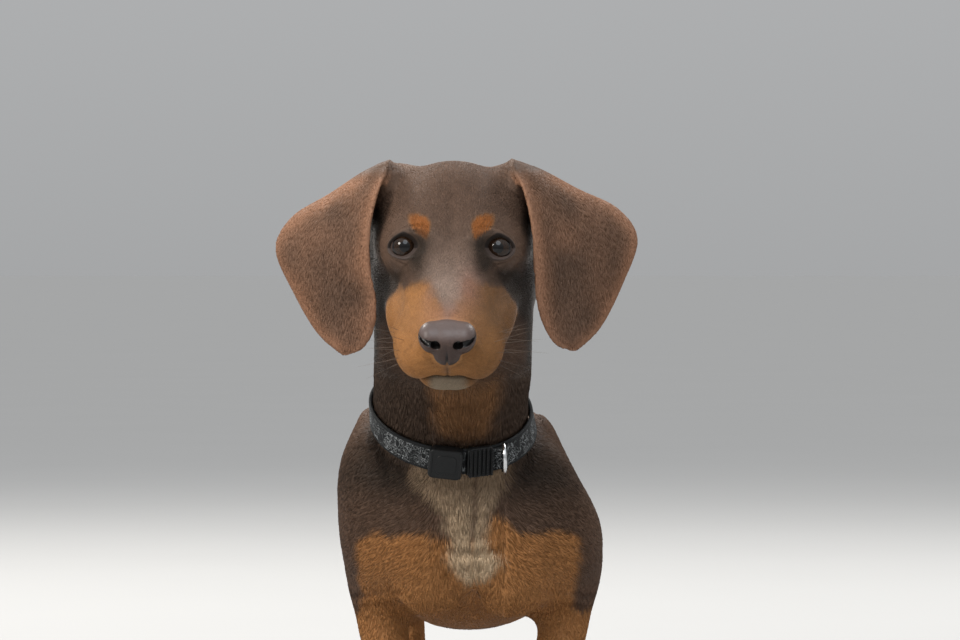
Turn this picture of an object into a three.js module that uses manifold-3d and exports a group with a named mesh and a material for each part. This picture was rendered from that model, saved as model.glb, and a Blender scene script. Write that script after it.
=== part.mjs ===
// A young smooth-coated dachshund, life size, standing on all fours and facing forward with its head raised.
// Millimetres, +Z up. The dog faces -Y, its left side is +X, and it stands on Z = 0.
// The body is one rounded form, joined smoothly from named masses (braincase, cheekbones, muzzle, neck, trunk,
// shoulders, legs, tail). It is meshed region by region and parted by thin flat cuts where a person names its parts.
// All sizes are to the outside of the coat.
import * as THREE from "three";
import { mergeVertices } from "three/addons/utils/BufferGeometryUtils.js";
import Module from "manifold-3d";

const wasm = await Module();
wasm.setup();
const { Manifold, Mesh } = wasm;

// ---------------------------------------------------------------- driving sizes
const SHIFT = [5.1, -134.6, 0]; // moves the middle of the whole outline over the origin
const GAP = 0.4; // width of the thin cuts between neighbouring parts
const LEAN = 0.125; // the forebody leans a little towards the dog's right as it rises
const ROLL = 0.07; // and its left shoulder rides lower
const FORE_X = 4; // middle between the forelegs
const HIND_X = 9; // middle between the hind legs: the hindquarters stand a little to the left
const FORE_PAW = { x: 42, y: -14, half: 18.5, reach: 24 };
const HIND_PAW = { x: 46, y: 250, half: 16.5, reach: 22 };
const HEAD = { mid: [-8, -112, 286.6], pitch: 35, yaw: 2, roll: -0.8 }; // point between the eyes; pitch of the jaw line
const EYE = { s: 25.7, f: -5.6, u: -4.2, radius: 8.4 };
const COLLAR = { mid: [-6, -22, 190.5], tilt: 0.554, rollSlope: 0.095, width: 15, thick: 1.9, clear: 0.5 };
const BUCKLE = { angle: -96, length: 19, width: 18, thick: 7 };
const SLIDER = { angle: -74, length: 16, width: 17.5, thick: 5 };
const DRING = { angle: -57, bar: 8.6, reach: 12.5, wire: 1.1, lean: 33 };
const CELL = { trunk: 18.5, neck: 16, head: 9.6, jaw: 8.4, nose: 5.2, leg: 12, paw: 8 };
const CLAW = { length: 7, root: 2.4, tip: 0.6 };

// trunk: place along Y, topline, underline, half width, middle X
const TRUNK_ROWS = [
  [-30, 172, 94, 40, 0], [0, 186, 73, 54, 0], [40, 190, 63, 60, 1], [80, 189, 66, 63, 2.5], [120, 188, 72, 61, 4],
  [160, 189, 83, 55, 5.5], [200, 190, 92, 50, 7], [240, 184, 98, 45, 9], [262, 174, 106, 38, 10],
];
// neck, legs and tail: X, Y, Z of the middle line, half size across, half size fore and aft
const NECK_ROWS = [[0, 12, 146, 47, 56], [-5, -6, 166, 45, 53], [-8.6, -24, 194, 44.2, 47.5], [-7.4, -40, 222, 45.6, 44], [-7, -58, 256, 45.2, 41]];
const FORE_ROWS = [[50, -4, 118, 24, 34], [55, 8, 96, 18.5, 24], [54, 10, 80, 15.5, 19], [50, 3, 58, 14, 16], [44, -4, 36, 12.5, 13.5], [42, -9, 20, 13, 14.5]];
const HIND_ROWS = [[31, 240, 140, 23, 40], [39, 230, 117, 22, 36], [46, 221, 97, 17.5, 27], [47, 237, 75, 12.8, 17.5], [46, 259, 56, 10, 11.5], [46, 262, 38, 10.5, 11], [46, 258, 18, 11, 12.5]];
const TAIL_ROWS = [[9, 252, 170, 18, 15], [10, 280, 163, 13, 12.5], [11.5, 320, 150, 10.5, 10], [13, 360, 136, 8.3, 8], [13.5, 400, 123, 6, 6], [13, 428, 113, 4.2, 4.2]];
// muzzle: place forward of the eyes, top, lip line, half width
const MUZZLE_ROWS = [[-16, 10, -44, 32], [0, 5.5, -46, 29.5], [12, 1.5, -46, 27.5], [26, -1.2, -45, 25.5], [42, -4.8, -44, 23.5], [56, -8.5, -41, 19.5], [60, -10, -40, 18]];
// ears: edge points as outward from the root, drop below it, and place fore and aft
const EAR_FRONT = {
  1: [[-1, 3, -90], [4, 17, -95], [6.6, 38, -97], [6.2, 60, -96], [6.2, 79, -93.5], [9.6, 94, -91], [15.2, 103.5, -89], [24, 107.5, -86]],
  "-1": [[0, 3, -90], [5.6, 17, -95], [10, 38, -97], [9.8, 60, -96], [6.6, 79, -93.5], [8.6, 94, -91], [14.5, 103.5, -89], [24, 107.5, -86]],
};
const EAR_REAR = [[0, -1, -52], [14, 4, -52], [34, 17, -51.5], [55, 30, -51], [64, 48, -54], [54, 72, -64], [40, 95, -77], [25, 107.8, -86]];
const EAR_BULGE = [[3, 3], [5, 3], [8, 1], [9, 0], [9, 0], [8, 0], [5, 0], [0, 0]]; // forward, up
const EAR = { rootZ: 334, rootX: { 1: 26.5, "-1": -42.5 }, turn: { 1: 4.5, "-1": 0 }, size: { 1: 1.04, "-1": 1.01 }, thick: 3.2 };

// ---------------------------------------------------------------- field arithmetic
// A field is negative inside the form and close to the distance in millimetres near its surface.
const rad = (d) => (d * Math.PI) / 180;
const clamp = (v, a, b) => Math.min(b, Math.max(a, v));
const step = (a, b, v) => {
  const t = clamp((v - a) / (b - a), 0, 1);
  return t * t * (3 - 2 * t);
};
// smooth union of two fields over a fillet of about k
function blend(a, b, k) {
  const h = clamp(0.5 + (0.5 * (b - a)) / k, 0, 1);
  return b + (a - b) * h - k * h * (1 - h);
}
function ellipsoid(x, y, z, cx, cy, cz, rx, ry, rz) {
  const u = (x - cx) / rx, v = (y - cy) / ry, w = (z - cz) / rz;
  const k0 = Math.hypot(u, v, w), k1 = Math.hypot(u / rx, v / ry, w / rz);
  return (k0 * (k0 - 1)) / Math.max(k1, 1e-6);
}
// rows interpolated by a smooth curve, n steps to a span
function smoothRows(rows, n) {
  const out = [];
  for (let i = 0; i < rows.length - 1; i++) {
    const [a, b, c, d] = [rows[Math.max(i - 1, 0)], rows[i], rows[i + 1], rows[Math.min(i + 2, rows.length - 1)]];
    for (let j = 0; j < n; j++) {
      const t = j / n;
      out.push(b.map((_, q) => 0.5 * (2 * b[q] + (c[q] - a[q]) * t + (2 * a[q] - 5 * b[q] + 4 * c[q] - d[q]) * t * t + (3 * b[q] - a[q] - 3 * c[q] + d[q]) * t ** 3)));
    }
  }
  out.push(rows[rows.length - 1].slice());
  return out;
}
function rowAt(rows, t) {
  const i = clamp(Math.floor(t), 0, rows.length - 2), q = t - i;
  return rows[i].map((v, k) => v + (rows[i + 1][k] - v) * q);
}
// a rounded form strung on a bent line; its place along the line is a soft mean, so bends stay smooth
function strand(rows, spread) {
  const n = rows.length;
  const dirs = rows.map((_, i) => {
    const a = rows[Math.max(i - 1, 0)], b = rows[Math.min(i + 1, n - 1)];
    const d = new THREE.Vector3(b[0] - a[0], b[1] - a[1], b[2] - a[2]).normalize();
    return [d.x, d.y, d.z];
  });
  return (x, y, z) => {
    const D = rows.map((r) => (x - r[0]) ** 2 + (y - r[1]) ** 2 + (z - r[2]) ** 2);
    const least = Math.min(...D);
    let sw = 0, st = 0;
    D.forEach((d, i) => {
      const w = Math.exp(-(d - least) / (spread * spread));
      sw += w;
      st += w * i;
    });
    const t = st / sw;
    const [cx, cy, cz, a, b] = rowAt(rows, t);
    const d = new THREE.Vector3(...rowAt(dirs, t)).normalize();
    const across = new THREE.Vector3(1, 0, 0).addScaledVector(d, -d.x).normalize();
    const aft = new THREE.Vector3().crossVectors(d, across);
    const p = new THREE.Vector3(x - cx, y - cy, z - cz);
    const rw = (a + b) / 2;
    const u = p.dot(across) / a, v = p.dot(aft) / b, w = p.dot(d) / rw;
    const k0 = Math.hypot(u, v, w), k1 = Math.hypot(u / a, v / b, w / rw);
    return (k0 * (k0 - 1)) / Math.max(k1, 1e-6);
  };
}
// a form given by its top, bottom, half width and middle along one direction, closed by half ellipsoids at both ends
function lengthwise(rows, power, capA, capB) {
  const T = rows.map((r) => r[0]);
  return (t, a, b) => {
    const tt = clamp(t, T[0], T[T.length - 1]);
    let i = 0;
    while (i < T.length - 2 && tt > T[i + 1]) i++;
    const q = (tt - T[i]) / (T[i + 1] - T[i]);
    const [, top, bottom, half, mid] = rows[i].map((v, k) => v + (rows[i + 1][k] - v) * q);
    const hb = (top - bottom) / 2;
    const u = Math.abs(a - (mid ?? 0)) / half, v = Math.abs(b - (top + bottom) / 2) / hb;
    const before = t < T[0], after = t > T[T.length - 1], cap = before ? capA : capB;
    const w = before ? (T[0] - t) / capA : after ? (t - T[T.length - 1]) / capB : 0;
    const g = (u ** power + v ** power) ** (1 / power), k0 = Math.hypot(g, w), gn = Math.max(g, 1e-6);
    const gu = (u / gn) ** (power - 1) / half, gv = (v / gn) ** (power - 1) / hb;
    const k1 = Math.hypot(g * gu, g * gv, w / cap) / Math.max(k0, 1e-6);
    return (k0 - 1) / Math.max(k1, 1e-6);
  };
}

// ---------------------------------------------------------------- the dog's form
const trunkForm = lengthwise(smoothRows(TRUNK_ROWS, 6), 2.2, 26, 24);
const neckForm = strand(smoothRows(NECK_ROWS, 5), 5);
const foreForm = strand(smoothRows(FORE_ROWS, 5), 4);
const hindForm = strand(smoothRows(HIND_ROWS, 5), 4);
const tailForm = strand(smoothRows(TAIL_ROWS, 6), 4);
const muzzleForm = lengthwise(smoothRows(MUZZLE_ROWS, 4), 2.5, 14, 11);

function pawForm(x, y, z, half, reach) {
  let d = ellipsoid(x, y, z, 0, 3, 12, half * 0.86, reach * 0.78, 13.5);
  for (const [sx, fy, r] of [[-0.62, -0.34, 7], [-0.22, -0.66, 7.6], [0.22, -0.66, 7.6], [0.62, -0.34, 7]])
    d = blend(d, ellipsoid(x, y, z, sx * half, fy * reach, 8.6, r * 0.82, r * 1.35, r * 1.28), 2.5);
  return d;
}
function bodyForm(x, y, z) {
  const w = (1 - step(40, 210, y)) * step(60, 110, z);
  const xw = x - w * (3 - LEAN * (Math.min(z, 190) - 105)), zw = z + w * ROLL * xw, ax = Math.abs(xw);
  let d = trunkForm(y, xw, zw);
  d = blend(d, ellipsoid(ax, y, zw, 44, 3, 129, 29.5, 46, 55), 16); // shoulder and upper arm
  d = blend(d, Math.min(ellipsoid(xw, y, zw, 49, 18, 165, 13, 26, 30), ellipsoid(xw, y, zw, -47, 18, 162, 13, 26, 30)), 8); // shoulder blades
  d = blend(d, ellipsoid(ax, y, zw, 23, -34, 112, 27, 22, 36), 10); // breast muscles
  d = blend(d, ellipsoid(xw, y, zw, 0, -44, 120, 17, 14, 26), 10); // point of the breastbone
  d = blend(d, neckForm(x, y, z), 9);
  const xr = Math.abs(x - HIND_X), xf = Math.abs(x - FORE_X);
  d = blend(d, ellipsoid(xr, y, z, 24, 244, 152, 24, 38, 35), 18); // rump
  d = blend(d, blend(foreForm(xf, y, z), pawForm(xf - FORE_PAW.x, y - FORE_PAW.y, z, FORE_PAW.half, FORE_PAW.reach), 6), 12);
  d = blend(d, blend(hindForm(xr, y, z), pawForm(xr - HIND_PAW.x, y - HIND_PAW.y, z, HIND_PAW.half, HIND_PAW.reach), 6), 14);
  return blend(d, tailForm(x, y, z), 14);
}

// head frame: s to the dog's left, f forward along the jaw line, u up, from the point between the eyes
const headAxes = (() => {
  const P = rad(HEAD.pitch), Y = rad(HEAD.yaw), R = rad(HEAD.roll);
  const F = new THREE.Vector3(-Math.sin(Y) * Math.cos(P), -Math.cos(Y) * Math.cos(P), -Math.sin(P));
  const S = new THREE.Vector3(Math.cos(Y), -Math.sin(Y), 0);
  const U = new THREE.Vector3().crossVectors(F, S);
  return { S: S.clone().multiplyScalar(Math.cos(R)).addScaledVector(U, Math.sin(R)), F, U: U.clone().multiplyScalar(Math.cos(R)).addScaledVector(S, -Math.sin(R)) };
})();
function toHead(x, y, z) {
  const p = new THREE.Vector3(x - HEAD.mid[0], y - HEAD.mid[1], z - HEAD.mid[2]);
  return [p.dot(headAxes.S), p.dot(headAxes.F), p.dot(headAxes.U)];
}
const fromHead = (s, f, u) => new THREE.Vector3(...HEAD.mid).addScaledVector(headAxes.S, s).addScaledVector(headAxes.F, f).addScaledVector(headAxes.U, u);

function noseForm(s, f, u) {
  const d = blend(ellipsoid(s, f, u, 0, 61.5, -15.6, 14, 10.6, 7.9), ellipsoid(s, f, u, 0, 62.6, -23.6, 10.4, 9.3, 9.4), 4);
  return blend(d, ellipsoid(Math.abs(s), f, u, 9.8, 62.6, -15.6, 5.7, 8.2, 7.3), 3);
}
function jawForm(s, f, u) {
  const d = ellipsoid(s, f, u, 0, 44.3, -49.2, 13.5, 17, 9.6); // chin
  return blend(d, ellipsoid(Math.abs(s), f, u, 9, 14, -50, 14, 44, 11), 8);
}
function skullForm(s, f, u) {
  const a = Math.abs(s);
  let d = ellipsoid(s, f, u, 0, -37, -15, 42.5, 44, 38); // braincase
  d = blend(d, ellipsoid(a, f, u, 15, -14, 1, 16, 16, 12), 12); // brows
  d = blend(d, ellipsoid(a, f, u, 27.5, -26, -13, 15, 26, 14), 8); // cheekbones
  d = blend(d, ellipsoid(a, f, u, 26.5, -39, -34, 18, 26, 24), 10); // jaw muscles
  d = blend(d, ellipsoid(a, f, u, 29.5, -50, 2.4, 12, 20, 14), 9); // ear roots
  d = blend(d, ellipsoid(a, f, u, 39.2, -47, -28, 10, 13, 46), 7); // gristle behind the front edge of the ear
  let m = muzzleForm(f, s, u);
  m = blend(m, ellipsoid(a, f, u, 16, 39, -35.5, 15, 28, 16), 9); // upper lips
  m = blend(m, ellipsoid(a, f, u, 19, 8, -38, 17.5, 28, 14.5), 9); // corners of the mouth
  m = blend(m, ellipsoid(s, f, u, 0, 51, -39, 13, 13, 7), 3); // front of the upper lip
  return blend(d, m, 9);
}
// the whole form; jaw and nose can be left to parts of their own
function dogForm(x, y, z, { jaw = true, nose = true } = {}) {
  const [s, f, u] = toHead(x, y, z);
  let h = skullForm(s, f, u);
  const j = jawForm(s, f, u);
  h = blend(h, jaw ? j : Math.max(j, f + 8), 3);
  if (nose) h = blend(h, noseForm(s, f, u), 2.5);
  return Math.max(blend(bodyForm(x, y, z), h, 12), -z);
}

// ---------------------------------------------------------------- meshing a field
// one vertex in each cell that the surface crosses, moved on to the surface, and a quad round each crossed edge
function polygonize(form, lo, hi, h, level = 0, flat = false) {
  const n = [0, 1, 2].map((i) => Math.ceil((hi[i] - lo[i]) / h) + 1);
  const F = (p) => form(p[0], p[1], p[2]) - level;
  const V = new Float64Array(n[0] * n[1] * n[2]);
  const at = (i, j, k) => (i * n[1] + j) * n[2] + k;
  for (let i = 0; i < n[0]; i++)
    for (let j = 0; j < n[1]; j++)
      for (let k = 0; k < n[2]; k++) {
        const edge = i === 0 || j === 0 || k === 0 || i === n[0] - 1 || j === n[1] - 1 || k === n[2] - 1;
        const v = F([lo[0] + i * h, lo[1] + j * h, lo[2] + k * h]);
        V[at(i, j, k)] = edge ? Math.max(v, 0.3 * h) : v;
      }
  // where a cell face has its inside corners on one diagonal, the corner nearest the surface changes side
  for (let again = true, round = 0; again && round < 6; round++) {
    again = false;
    for (let ax = 0; ax < 3; ax++)
      for (let i = 0; i < n[0]; i++)
        for (let j = 0; j < n[1]; j++)
          for (let k = 0; k < n[2]; k++) {
            const c = [i, j, k], u = (ax + 1) % 3, v = (ax + 2) % 3;
            if (c[u] >= n[u] - 1 || c[v] >= n[v] - 1) continue;
            const ids = [[0, 0], [1, 0], [1, 1], [0, 1]].map(([du, dv]) => {
              const m = c.slice();
              m[u] += du;
              m[v] += dv;
              return at(...m);
            });
            const [p, q, r, t] = ids.map((id) => V[id] < 0);
            if (p !== r || q !== t || p === q) continue;
            const least = ids.reduce((a, b) => (Math.abs(V[b]) < Math.abs(V[a]) ? b : a));
            V[least] = V[least] < 0 ? 1e-3 : -1e-3;
            again = true;
          }
  }
  const cells = new Map(), pts = [], quads = [];
  // moves a point on to the surface along its slope
  const settle = (p) => {
    for (let it = 0; it < 2; it++) {
      const e = 0.05, v = F(p);
      const g = [0, 1, 2].map((q) => {
        const a = p.slice(), b = p.slice();
        a[q] += e;
        b[q] -= e;
        return (F(a) - F(b)) / (2 * e);
      });
      const gg = Math.max(g[0] ** 2 + g[1] ** 2 + g[2] ** 2, 0.05);
      let s = g.map((c) => (-v / gg) * c);
      const l = Math.hypot(...s), most = 0.45 * h;
      if (l > most) s = s.map((c) => (c * most) / l);
      p = p.map((c, q) => c + s[q]);
    }
    return p;
  };
  const corners = [0, 1, 2, 3, 4, 5, 6, 7].map((c) => [c & 1, (c >> 1) & 1, (c >> 2) & 1]);
  const inner = (p) => p.every((v, i) => v > lo[i] + 1.2 * h && v < hi[i] - 1.2 * h);
  for (let i = 0; i < n[0] - 1; i++)
    for (let j = 0; j < n[1] - 1; j++)
      for (let k = 0; k < n[2] - 1; k++) {
        const val = corners.map((c) => V[at(i + c[0], j + c[1], k + c[2])]);
        const inside = val.filter((v) => v < 0).length;
        if (inside === 0 || inside === 8) continue;
        const sum = [0, 0, 0];
        let count = 0;
        for (let a = 0; a < 8; a++)
          for (const bit of [1, 2, 4]) {
            const b = a | bit;
            if (b === a || val[a] < 0 === val[b] < 0) continue;
            const t = val[a] / (val[a] - val[b]);
            for (let q = 0; q < 3; q++) sum[q] += corners[a][q] + t * (corners[b][q] - corners[a][q]);
            count++;
          }
        const p = [lo[0] + (i + sum[0] / count) * h, lo[1] + (j + sum[1] / count) * h, lo[2] + (k + sum[2] / count) * h];
        cells.set(at(i, j, k), pts.length);
        pts.push(p);
      }
  const tris = [];
  for (let ax = 0; ax < 3; ax++) {
    const u = (ax + 1) % 3, v = (ax + 2) % 3;
    for (let i = 0; i < n[0]; i++)
      for (let j = 0; j < n[1]; j++)
        for (let k = 0; k < n[2]; k++) {
          const c = [i, j, k];
          if (c[ax] >= n[ax] - 1 || c[u] < 1 || c[v] < 1 || c[u] >= n[u] - 1 || c[v] >= n[v] - 1) continue;
          const e = c.slice();
          e[ax]++;
          const a = V[at(...c)] < 0, b = V[at(...e)] < 0;
          if (a === b) continue;
          const q = [[-1, -1], [0, -1], [0, 0], [-1, 0]].map(([du, dv]) => {
            const m = c.slice();
            m[u] += du;
            m[v] += dv;
            return cells.get(at(...m));
          });
          if (!a) q.reverse();
          quads.push(q);
        }
  }
  // even out the vertices along the surface, which also keeps the facets well shaped
  const free = pts.map(inner);
  for (let round = 0; round < 4; round++) {
    const sum = pts.map(() => [0, 0, 0, 0]);
    for (const q of quads)
      for (let i = 0; i < 4; i++)
        for (const o of [q[(i + 1) % 4], q[(i + 3) % 4]]) {
          for (let w = 0; w < 3; w++) sum[q[i]][w] += pts[o][w];
          sum[q[i]][3]++;
        }
    for (let i = 0; i < pts.length; i++)
      if (free[i]) pts[i] = settle(pts[i].map((c, w) => (round ? c + 0.5 * (sum[i][w] / sum[i][3] - c) : c)));
  }
  if (flat) for (const p of pts) if (p[2] < 0.25 * h) p[2] = 0;
  const taken = new Set(), edge = (a, b) => Math.min(a, b) * 1e7 + Math.max(a, b);
  for (const q of quads) q.forEach((a, i) => taken.add(edge(a, q[(i + 1) % 4])));
  for (const q of quads) {
    // split along the shorter diagonal, unless two facets already meet there
    const d = (m, o) => Math.hypot(...pts[m].map((t, w) => t - pts[o][w]));
    const one = edge(q[0], q[2]), two = edge(q[1], q[3]);
    const first = taken.has(one) === taken.has(two) ? d(q[0], q[2]) <= d(q[1], q[3]) : !taken.has(one);
    taken.add(first ? one : two);
    if (first) tris.push(q[0], q[1], q[2], q[0], q[2], q[3]);
    else tris.push(q[0], q[1], q[3], q[1], q[2], q[3]);
  }
  return { pts, tris };
}

// vertices that lie almost on a cutting plane step clear of it, so that the cut leaves no slivers
function clearOf({ pts, tris }, planes, least = 0.8) {
  for (const { at, n } of planes) {
    const l = Math.hypot(...n);
    for (const p of pts) {
      const d = ((p[0] - at[0]) * n[0] + (p[1] - at[1]) * n[1] + (p[2] - at[2]) * n[2]) / l;
      if (Math.abs(d) < least) n.forEach((c, q) => (p[q] += ((d < 0 ? -1 : 1) * least - d) * (c / l)));
    }
  }
  return { pts, tris };
}
// the same mesh with each vertex moved out by d along the form's slope
function grown({ pts, tris }, form, d) {
  const e = 0.3;
  return {
    tris,
    pts: pts.map((p) => {
      const g = [0, 1, 2].map((q) => {
        const a = p.slice(), b = p.slice();
        a[q] += e;
        b[q] -= e;
        return form(...a) - form(...b);
      });
      const l = Math.hypot(...g) || 1;
      return p.map((c, q) => c + (g[q] / l) * d);
    }),
  };
}

// ---------------------------------------------------------------- solids
const solid = ({ pts, tris }) => {
  const g = new THREE.BufferGeometry();
  g.setAttribute("position", new THREE.Float32BufferAttribute(pts.flat(), 3));
  g.setIndex(tris);
  return solidOf(g);
};
function solidOf(geometry) {
  const g = geometry.clone();
  for (const name of Object.keys(g.attributes)) if (name !== "position") g.deleteAttribute(name);
  const m = mergeVertices(g, 1e-4);
  const s = new Manifold(new Mesh({ numProp: 3, vertProperties: new Float32Array(m.attributes.position.array), triVerts: new Uint32Array(m.index.array) }));
  return s;
}
const largest = (s) => s.decompose().sort((a, b) => b.volume() - a.volume())[0];
function box(lo, hi) {
  const g = new THREE.BoxGeometry(hi[0] - lo[0], hi[1] - lo[1], hi[2] - lo[2]);
  g.translate((lo[0] + hi[0]) / 2, (lo[1] + hi[1]) / 2, (lo[2] + hi[2]) / 2);
  return solidOf(g);
}
// a big block that fills the side of a plane to which the normal points, from a distance off the plane
function beyond(point, normal, off = 0) {
  const n = new THREE.Vector3(...normal).normalize(), size = 1200;
  const g = new THREE.BoxGeometry(size, size, size);
  g.translate(0, 0, size / 2);
  g.applyQuaternion(new THREE.Quaternion().setFromUnitVectors(new THREE.Vector3(0, 0, 1), n));
  g.translate(point[0] + n.x * off, point[1] + n.y * off, point[2] + n.z * off);
  return solidOf(g);
}
const neg = (v) => v.map((c) => -c);
const half = GAP / 2;

// planes of the cuts
const NAPE = { at: [-7.5, -50, 240], n: [0, -0.475, 0.88] }; // head above, neck below
const BASE = { at: [-3, -12, 180], n: [0, -0.5, 0.866] }; // neck above, trunk below

// ---------------------------------------------------------------- the parts of flesh
const parts = {};
const whole = (x, y, z) => dogForm(x, y, z);
const upper = (x, y, z) => dogForm(x, y, z, { jaw: false, nose: false });

// head, lower jaw and nose
const HEAD_LO = [-66, -196, 168], HEAD_HI = [50, 2, 348];
const napeSide = beyond(NAPE.at, NAPE.n, half);
const jawSolid = solid(polygonize((x, y, z) => {
  const [s, f, u] = toHead(x, y, z);
  return blend(jawForm(s, f, u), bodyForm(x, y, z), 6);
}, [-44, -172, 184], [30, -60, 262], CELL.jaw));
const noseField = (x, y, z) => noseForm(...toHead(x, y, z));
const noseMesh = polygonize(noseField, [-32, -178, 212], [12, -142, 256], CELL.nose);
const eyeball = (side, extra) => {
  const g = new THREE.SphereGeometry(EYE.radius + extra, 12, 8);
  const p = fromHead(side * EYE.s, EYE.f, EYE.u);
  g.translate(p.x, p.y, p.z);
  return solidOf(g);
};
const headMesh = clearOf(polygonize(upper, HEAD_LO, HEAD_HI, CELL.head), [NAPE]);
let head = solid(headMesh).intersect(napeSide);
const headGrown = solid(grown(headMesh, upper, 0.5));
parts.nose = solid(noseMesh);
head = head.subtract(solid(grown(noseMesh, noseField, GAP)));
for (const side of [1, -1]) {
  parts[side > 0 ? "eye_left" : "eye_right"] = eyeball(side, 0);
  head = head.subtract(eyeball(side, GAP));
}
const jawCut = fromHead(0, -7.4, 0);
let jaw = jawSolid.intersect(beyond([jawCut.x, jawCut.y, jawCut.z], [headAxes.F.x, headAxes.F.y, headAxes.F.z], 0)).intersect(napeSide);
parts.head = largest(head);
parts.lower_jaw = largest(jaw.subtract(headGrown).subtract(parts.head));

// neck
parts.neck = largest(
  solid(clearOf(polygonize(whole, [-84, -130, 110], [74, 54, 300], CELL.neck), [NAPE, BASE]))
    .intersect(beyond(NAPE.at, neg(NAPE.n), half))
    .intersect(beyond(BASE.at, BASE.n, half)),
);

// trunk, legs and tail
const TAIL_Y = 289;
const FORE_BOX = { x: 30, y0: -90, y1: 41, z: 92 }, HIND_BOX = { x: 25, y0: 178, y1: 330, z: 148 };
const WRIST_Z = 28.3, KNEE_Z = 71.6, HEEL_Z = 28.7;
const flat = (axis, v) => ({ at: [v, v, v], n: [0, 1, 2].map((q) => (q === axis ? 1 : 0)) });
const boxPlanes = (mid, b) => [flat(0, mid + b.x), flat(0, mid - b.x), flat(1, b.y0), flat(1, b.y1), flat(2, b.z)];
const limbPlanes = [...boxPlanes(FORE_X, FORE_BOX), ...boxPlanes(HIND_X, HIND_BOX)];
let trunk = solid(clearOf(polygonize(whole, [-97, -84, 30], [108, 320, 232], CELL.trunk), [BASE, flat(1, TAIL_Y), ...limbPlanes]))
  .intersect(beyond(BASE.at, neg(BASE.n), half))
  .intersect(beyond([0, TAIL_Y, 0], [0, -1, 0], half));
const sideBox = (side, mid, b, z0, grow) => {
  const a = mid + side * (b.x - grow), o = mid + side * 130;
  return box([Math.min(a, o), b.y0 - grow, z0], [Math.max(a, o), b.y1 + grow, b.z + grow]);
};
for (const side of [1, -1]) {
  const name = side > 0 ? "left" : "right";
  trunk = trunk.subtract(sideBox(side, FORE_X, FORE_BOX, -50, half)).subtract(sideBox(side, HIND_X, HIND_BOX, -50, half));
  const room = 2 * CELL.leg; // the meshed region reaches past the cuts
  const span = (mid, b) => (side > 0 ? [mid + b.x - room, mid + 92] : [mid - 92, mid - b.x + room]);
  const fore = [span(FORE_X, FORE_BOX)[0], -80, -9], foreTo = [span(FORE_X, FORE_BOX)[1], FORE_BOX.y1 + room, FORE_BOX.z + room];
  const limb = solid(clearOf(polygonize(whole, fore, foreTo, CELL.leg), [...boxPlanes(FORE_X, FORE_BOX), flat(2, WRIST_Z)])).intersect(sideBox(side, FORE_X, FORE_BOX, -50, -half));
  parts["foreleg_" + name] = largest(limb.intersect(beyond([0, 0, WRIST_Z], [0, 0, 1], half)));
  const pawBox = (x, y, l) => [[x - 30, y - l - 12, -CELL.paw * 1.5], [x + 30, y + l + 24, 50]];
  const foot = (mid, spec, z) => largest(
    solid(clearOf(polygonize(whole, ...pawBox(mid + side * spec.x, spec.y, spec.reach), CELL.paw, 0, true), [flat(2, z)])).intersect(beyond([0, 0, z], [0, 0, -1], half)),
  );
  parts["forepaw_" + name] = foot(FORE_X, FORE_PAW, WRIST_Z);
  const hind = [span(HIND_X, HIND_BOX)[0], HIND_BOX.y0 - room - 3, -12], hindTo = [span(HIND_X, HIND_BOX)[1], 308, HIND_BOX.z + room];
  const back = solid(clearOf(polygonize(whole, hind, hindTo, CELL.leg), [...boxPlanes(HIND_X, HIND_BOX), flat(2, KNEE_Z), flat(2, HEEL_Z)])).intersect(sideBox(side, HIND_X, HIND_BOX, -50, -half));
  parts["thigh_" + name] = largest(back.intersect(beyond([0, 0, KNEE_Z], [0, 0, 1], half)));
  parts["shank_" + name] = largest(back.intersect(beyond([0, 0, KNEE_Z], [0, 0, -1], half)).intersect(beyond([0, 0, HEEL_Z], [0, 0, 1], half)));
  parts["hindpaw_" + name] = foot(HIND_X, HIND_PAW, HEEL_Z);
}
parts.trunk = largest(trunk);
// the tail is a tapered tube of rings, the first one flat against the cut
{
  const rows = smoothRows(TAIL_ROWS, 3), sides = 10, rings = [], pts = [], tris = [];
  const first = rows.findIndex((r) => r[1] > TAIL_Y + 5), a = rows[first - 1], b = rows[first];
  const q = (TAIL_Y + half - a[1]) / (b[1] - a[1]);
  rings.push({ row: a.map((v, k) => v + (b[k] - v) * q), dir: new THREE.Vector3(0, 1, 0) });
  for (let i = first; i < rows.length; i++) {
    const c = rows[i - 1], d = rows[Math.min(i + 1, rows.length - 1)];
    rings.push({ row: rows[i], dir: new THREE.Vector3(d[0] - c[0], d[1] - c[1], d[2] - c[2]).normalize() });
  }
  const tip = rings[rings.length - 1];
  for (const [t, k] of [[0.55, 0.83], [0.9, 0.44]]) rings.push({ row: tip.row.map((v, j) => (j < 3 ? v + tip.dir.getComponent(j) * tip.row[3] * t : v * k)), dir: tip.dir });
  rings.forEach(({ row, dir }) => {
    const across = new THREE.Vector3(1, 0, 0).addScaledVector(dir, -dir.x).normalize(), aft = new THREE.Vector3().crossVectors(dir, across);
    for (let k = 0; k < sides; k++) {
      const t = (2 * Math.PI * k) / sides;
      pts.push([0, 1, 2].map((j) => row[j] + across.getComponent(j) * Math.cos(t) * row[3] + aft.getComponent(j) * Math.sin(t) * row[4]));
    }
  });
  for (let i = 0; i < rings.length - 1; i++)
    for (let k = 0; k < sides; k++) {
      const a0 = i * sides + k, b0 = i * sides + ((k + 1) % sides);
      tris.push(a0, b0, b0 + sides, a0, b0 + sides, a0 + sides);
    }
  const last = (rings.length - 1) * sides;
  for (let k = 1; k < sides - 1; k++) tris.push(0, k + 1, k, last, last + k, last + k + 1);
  parts.tail = solid({ pts, tris });
}

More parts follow.
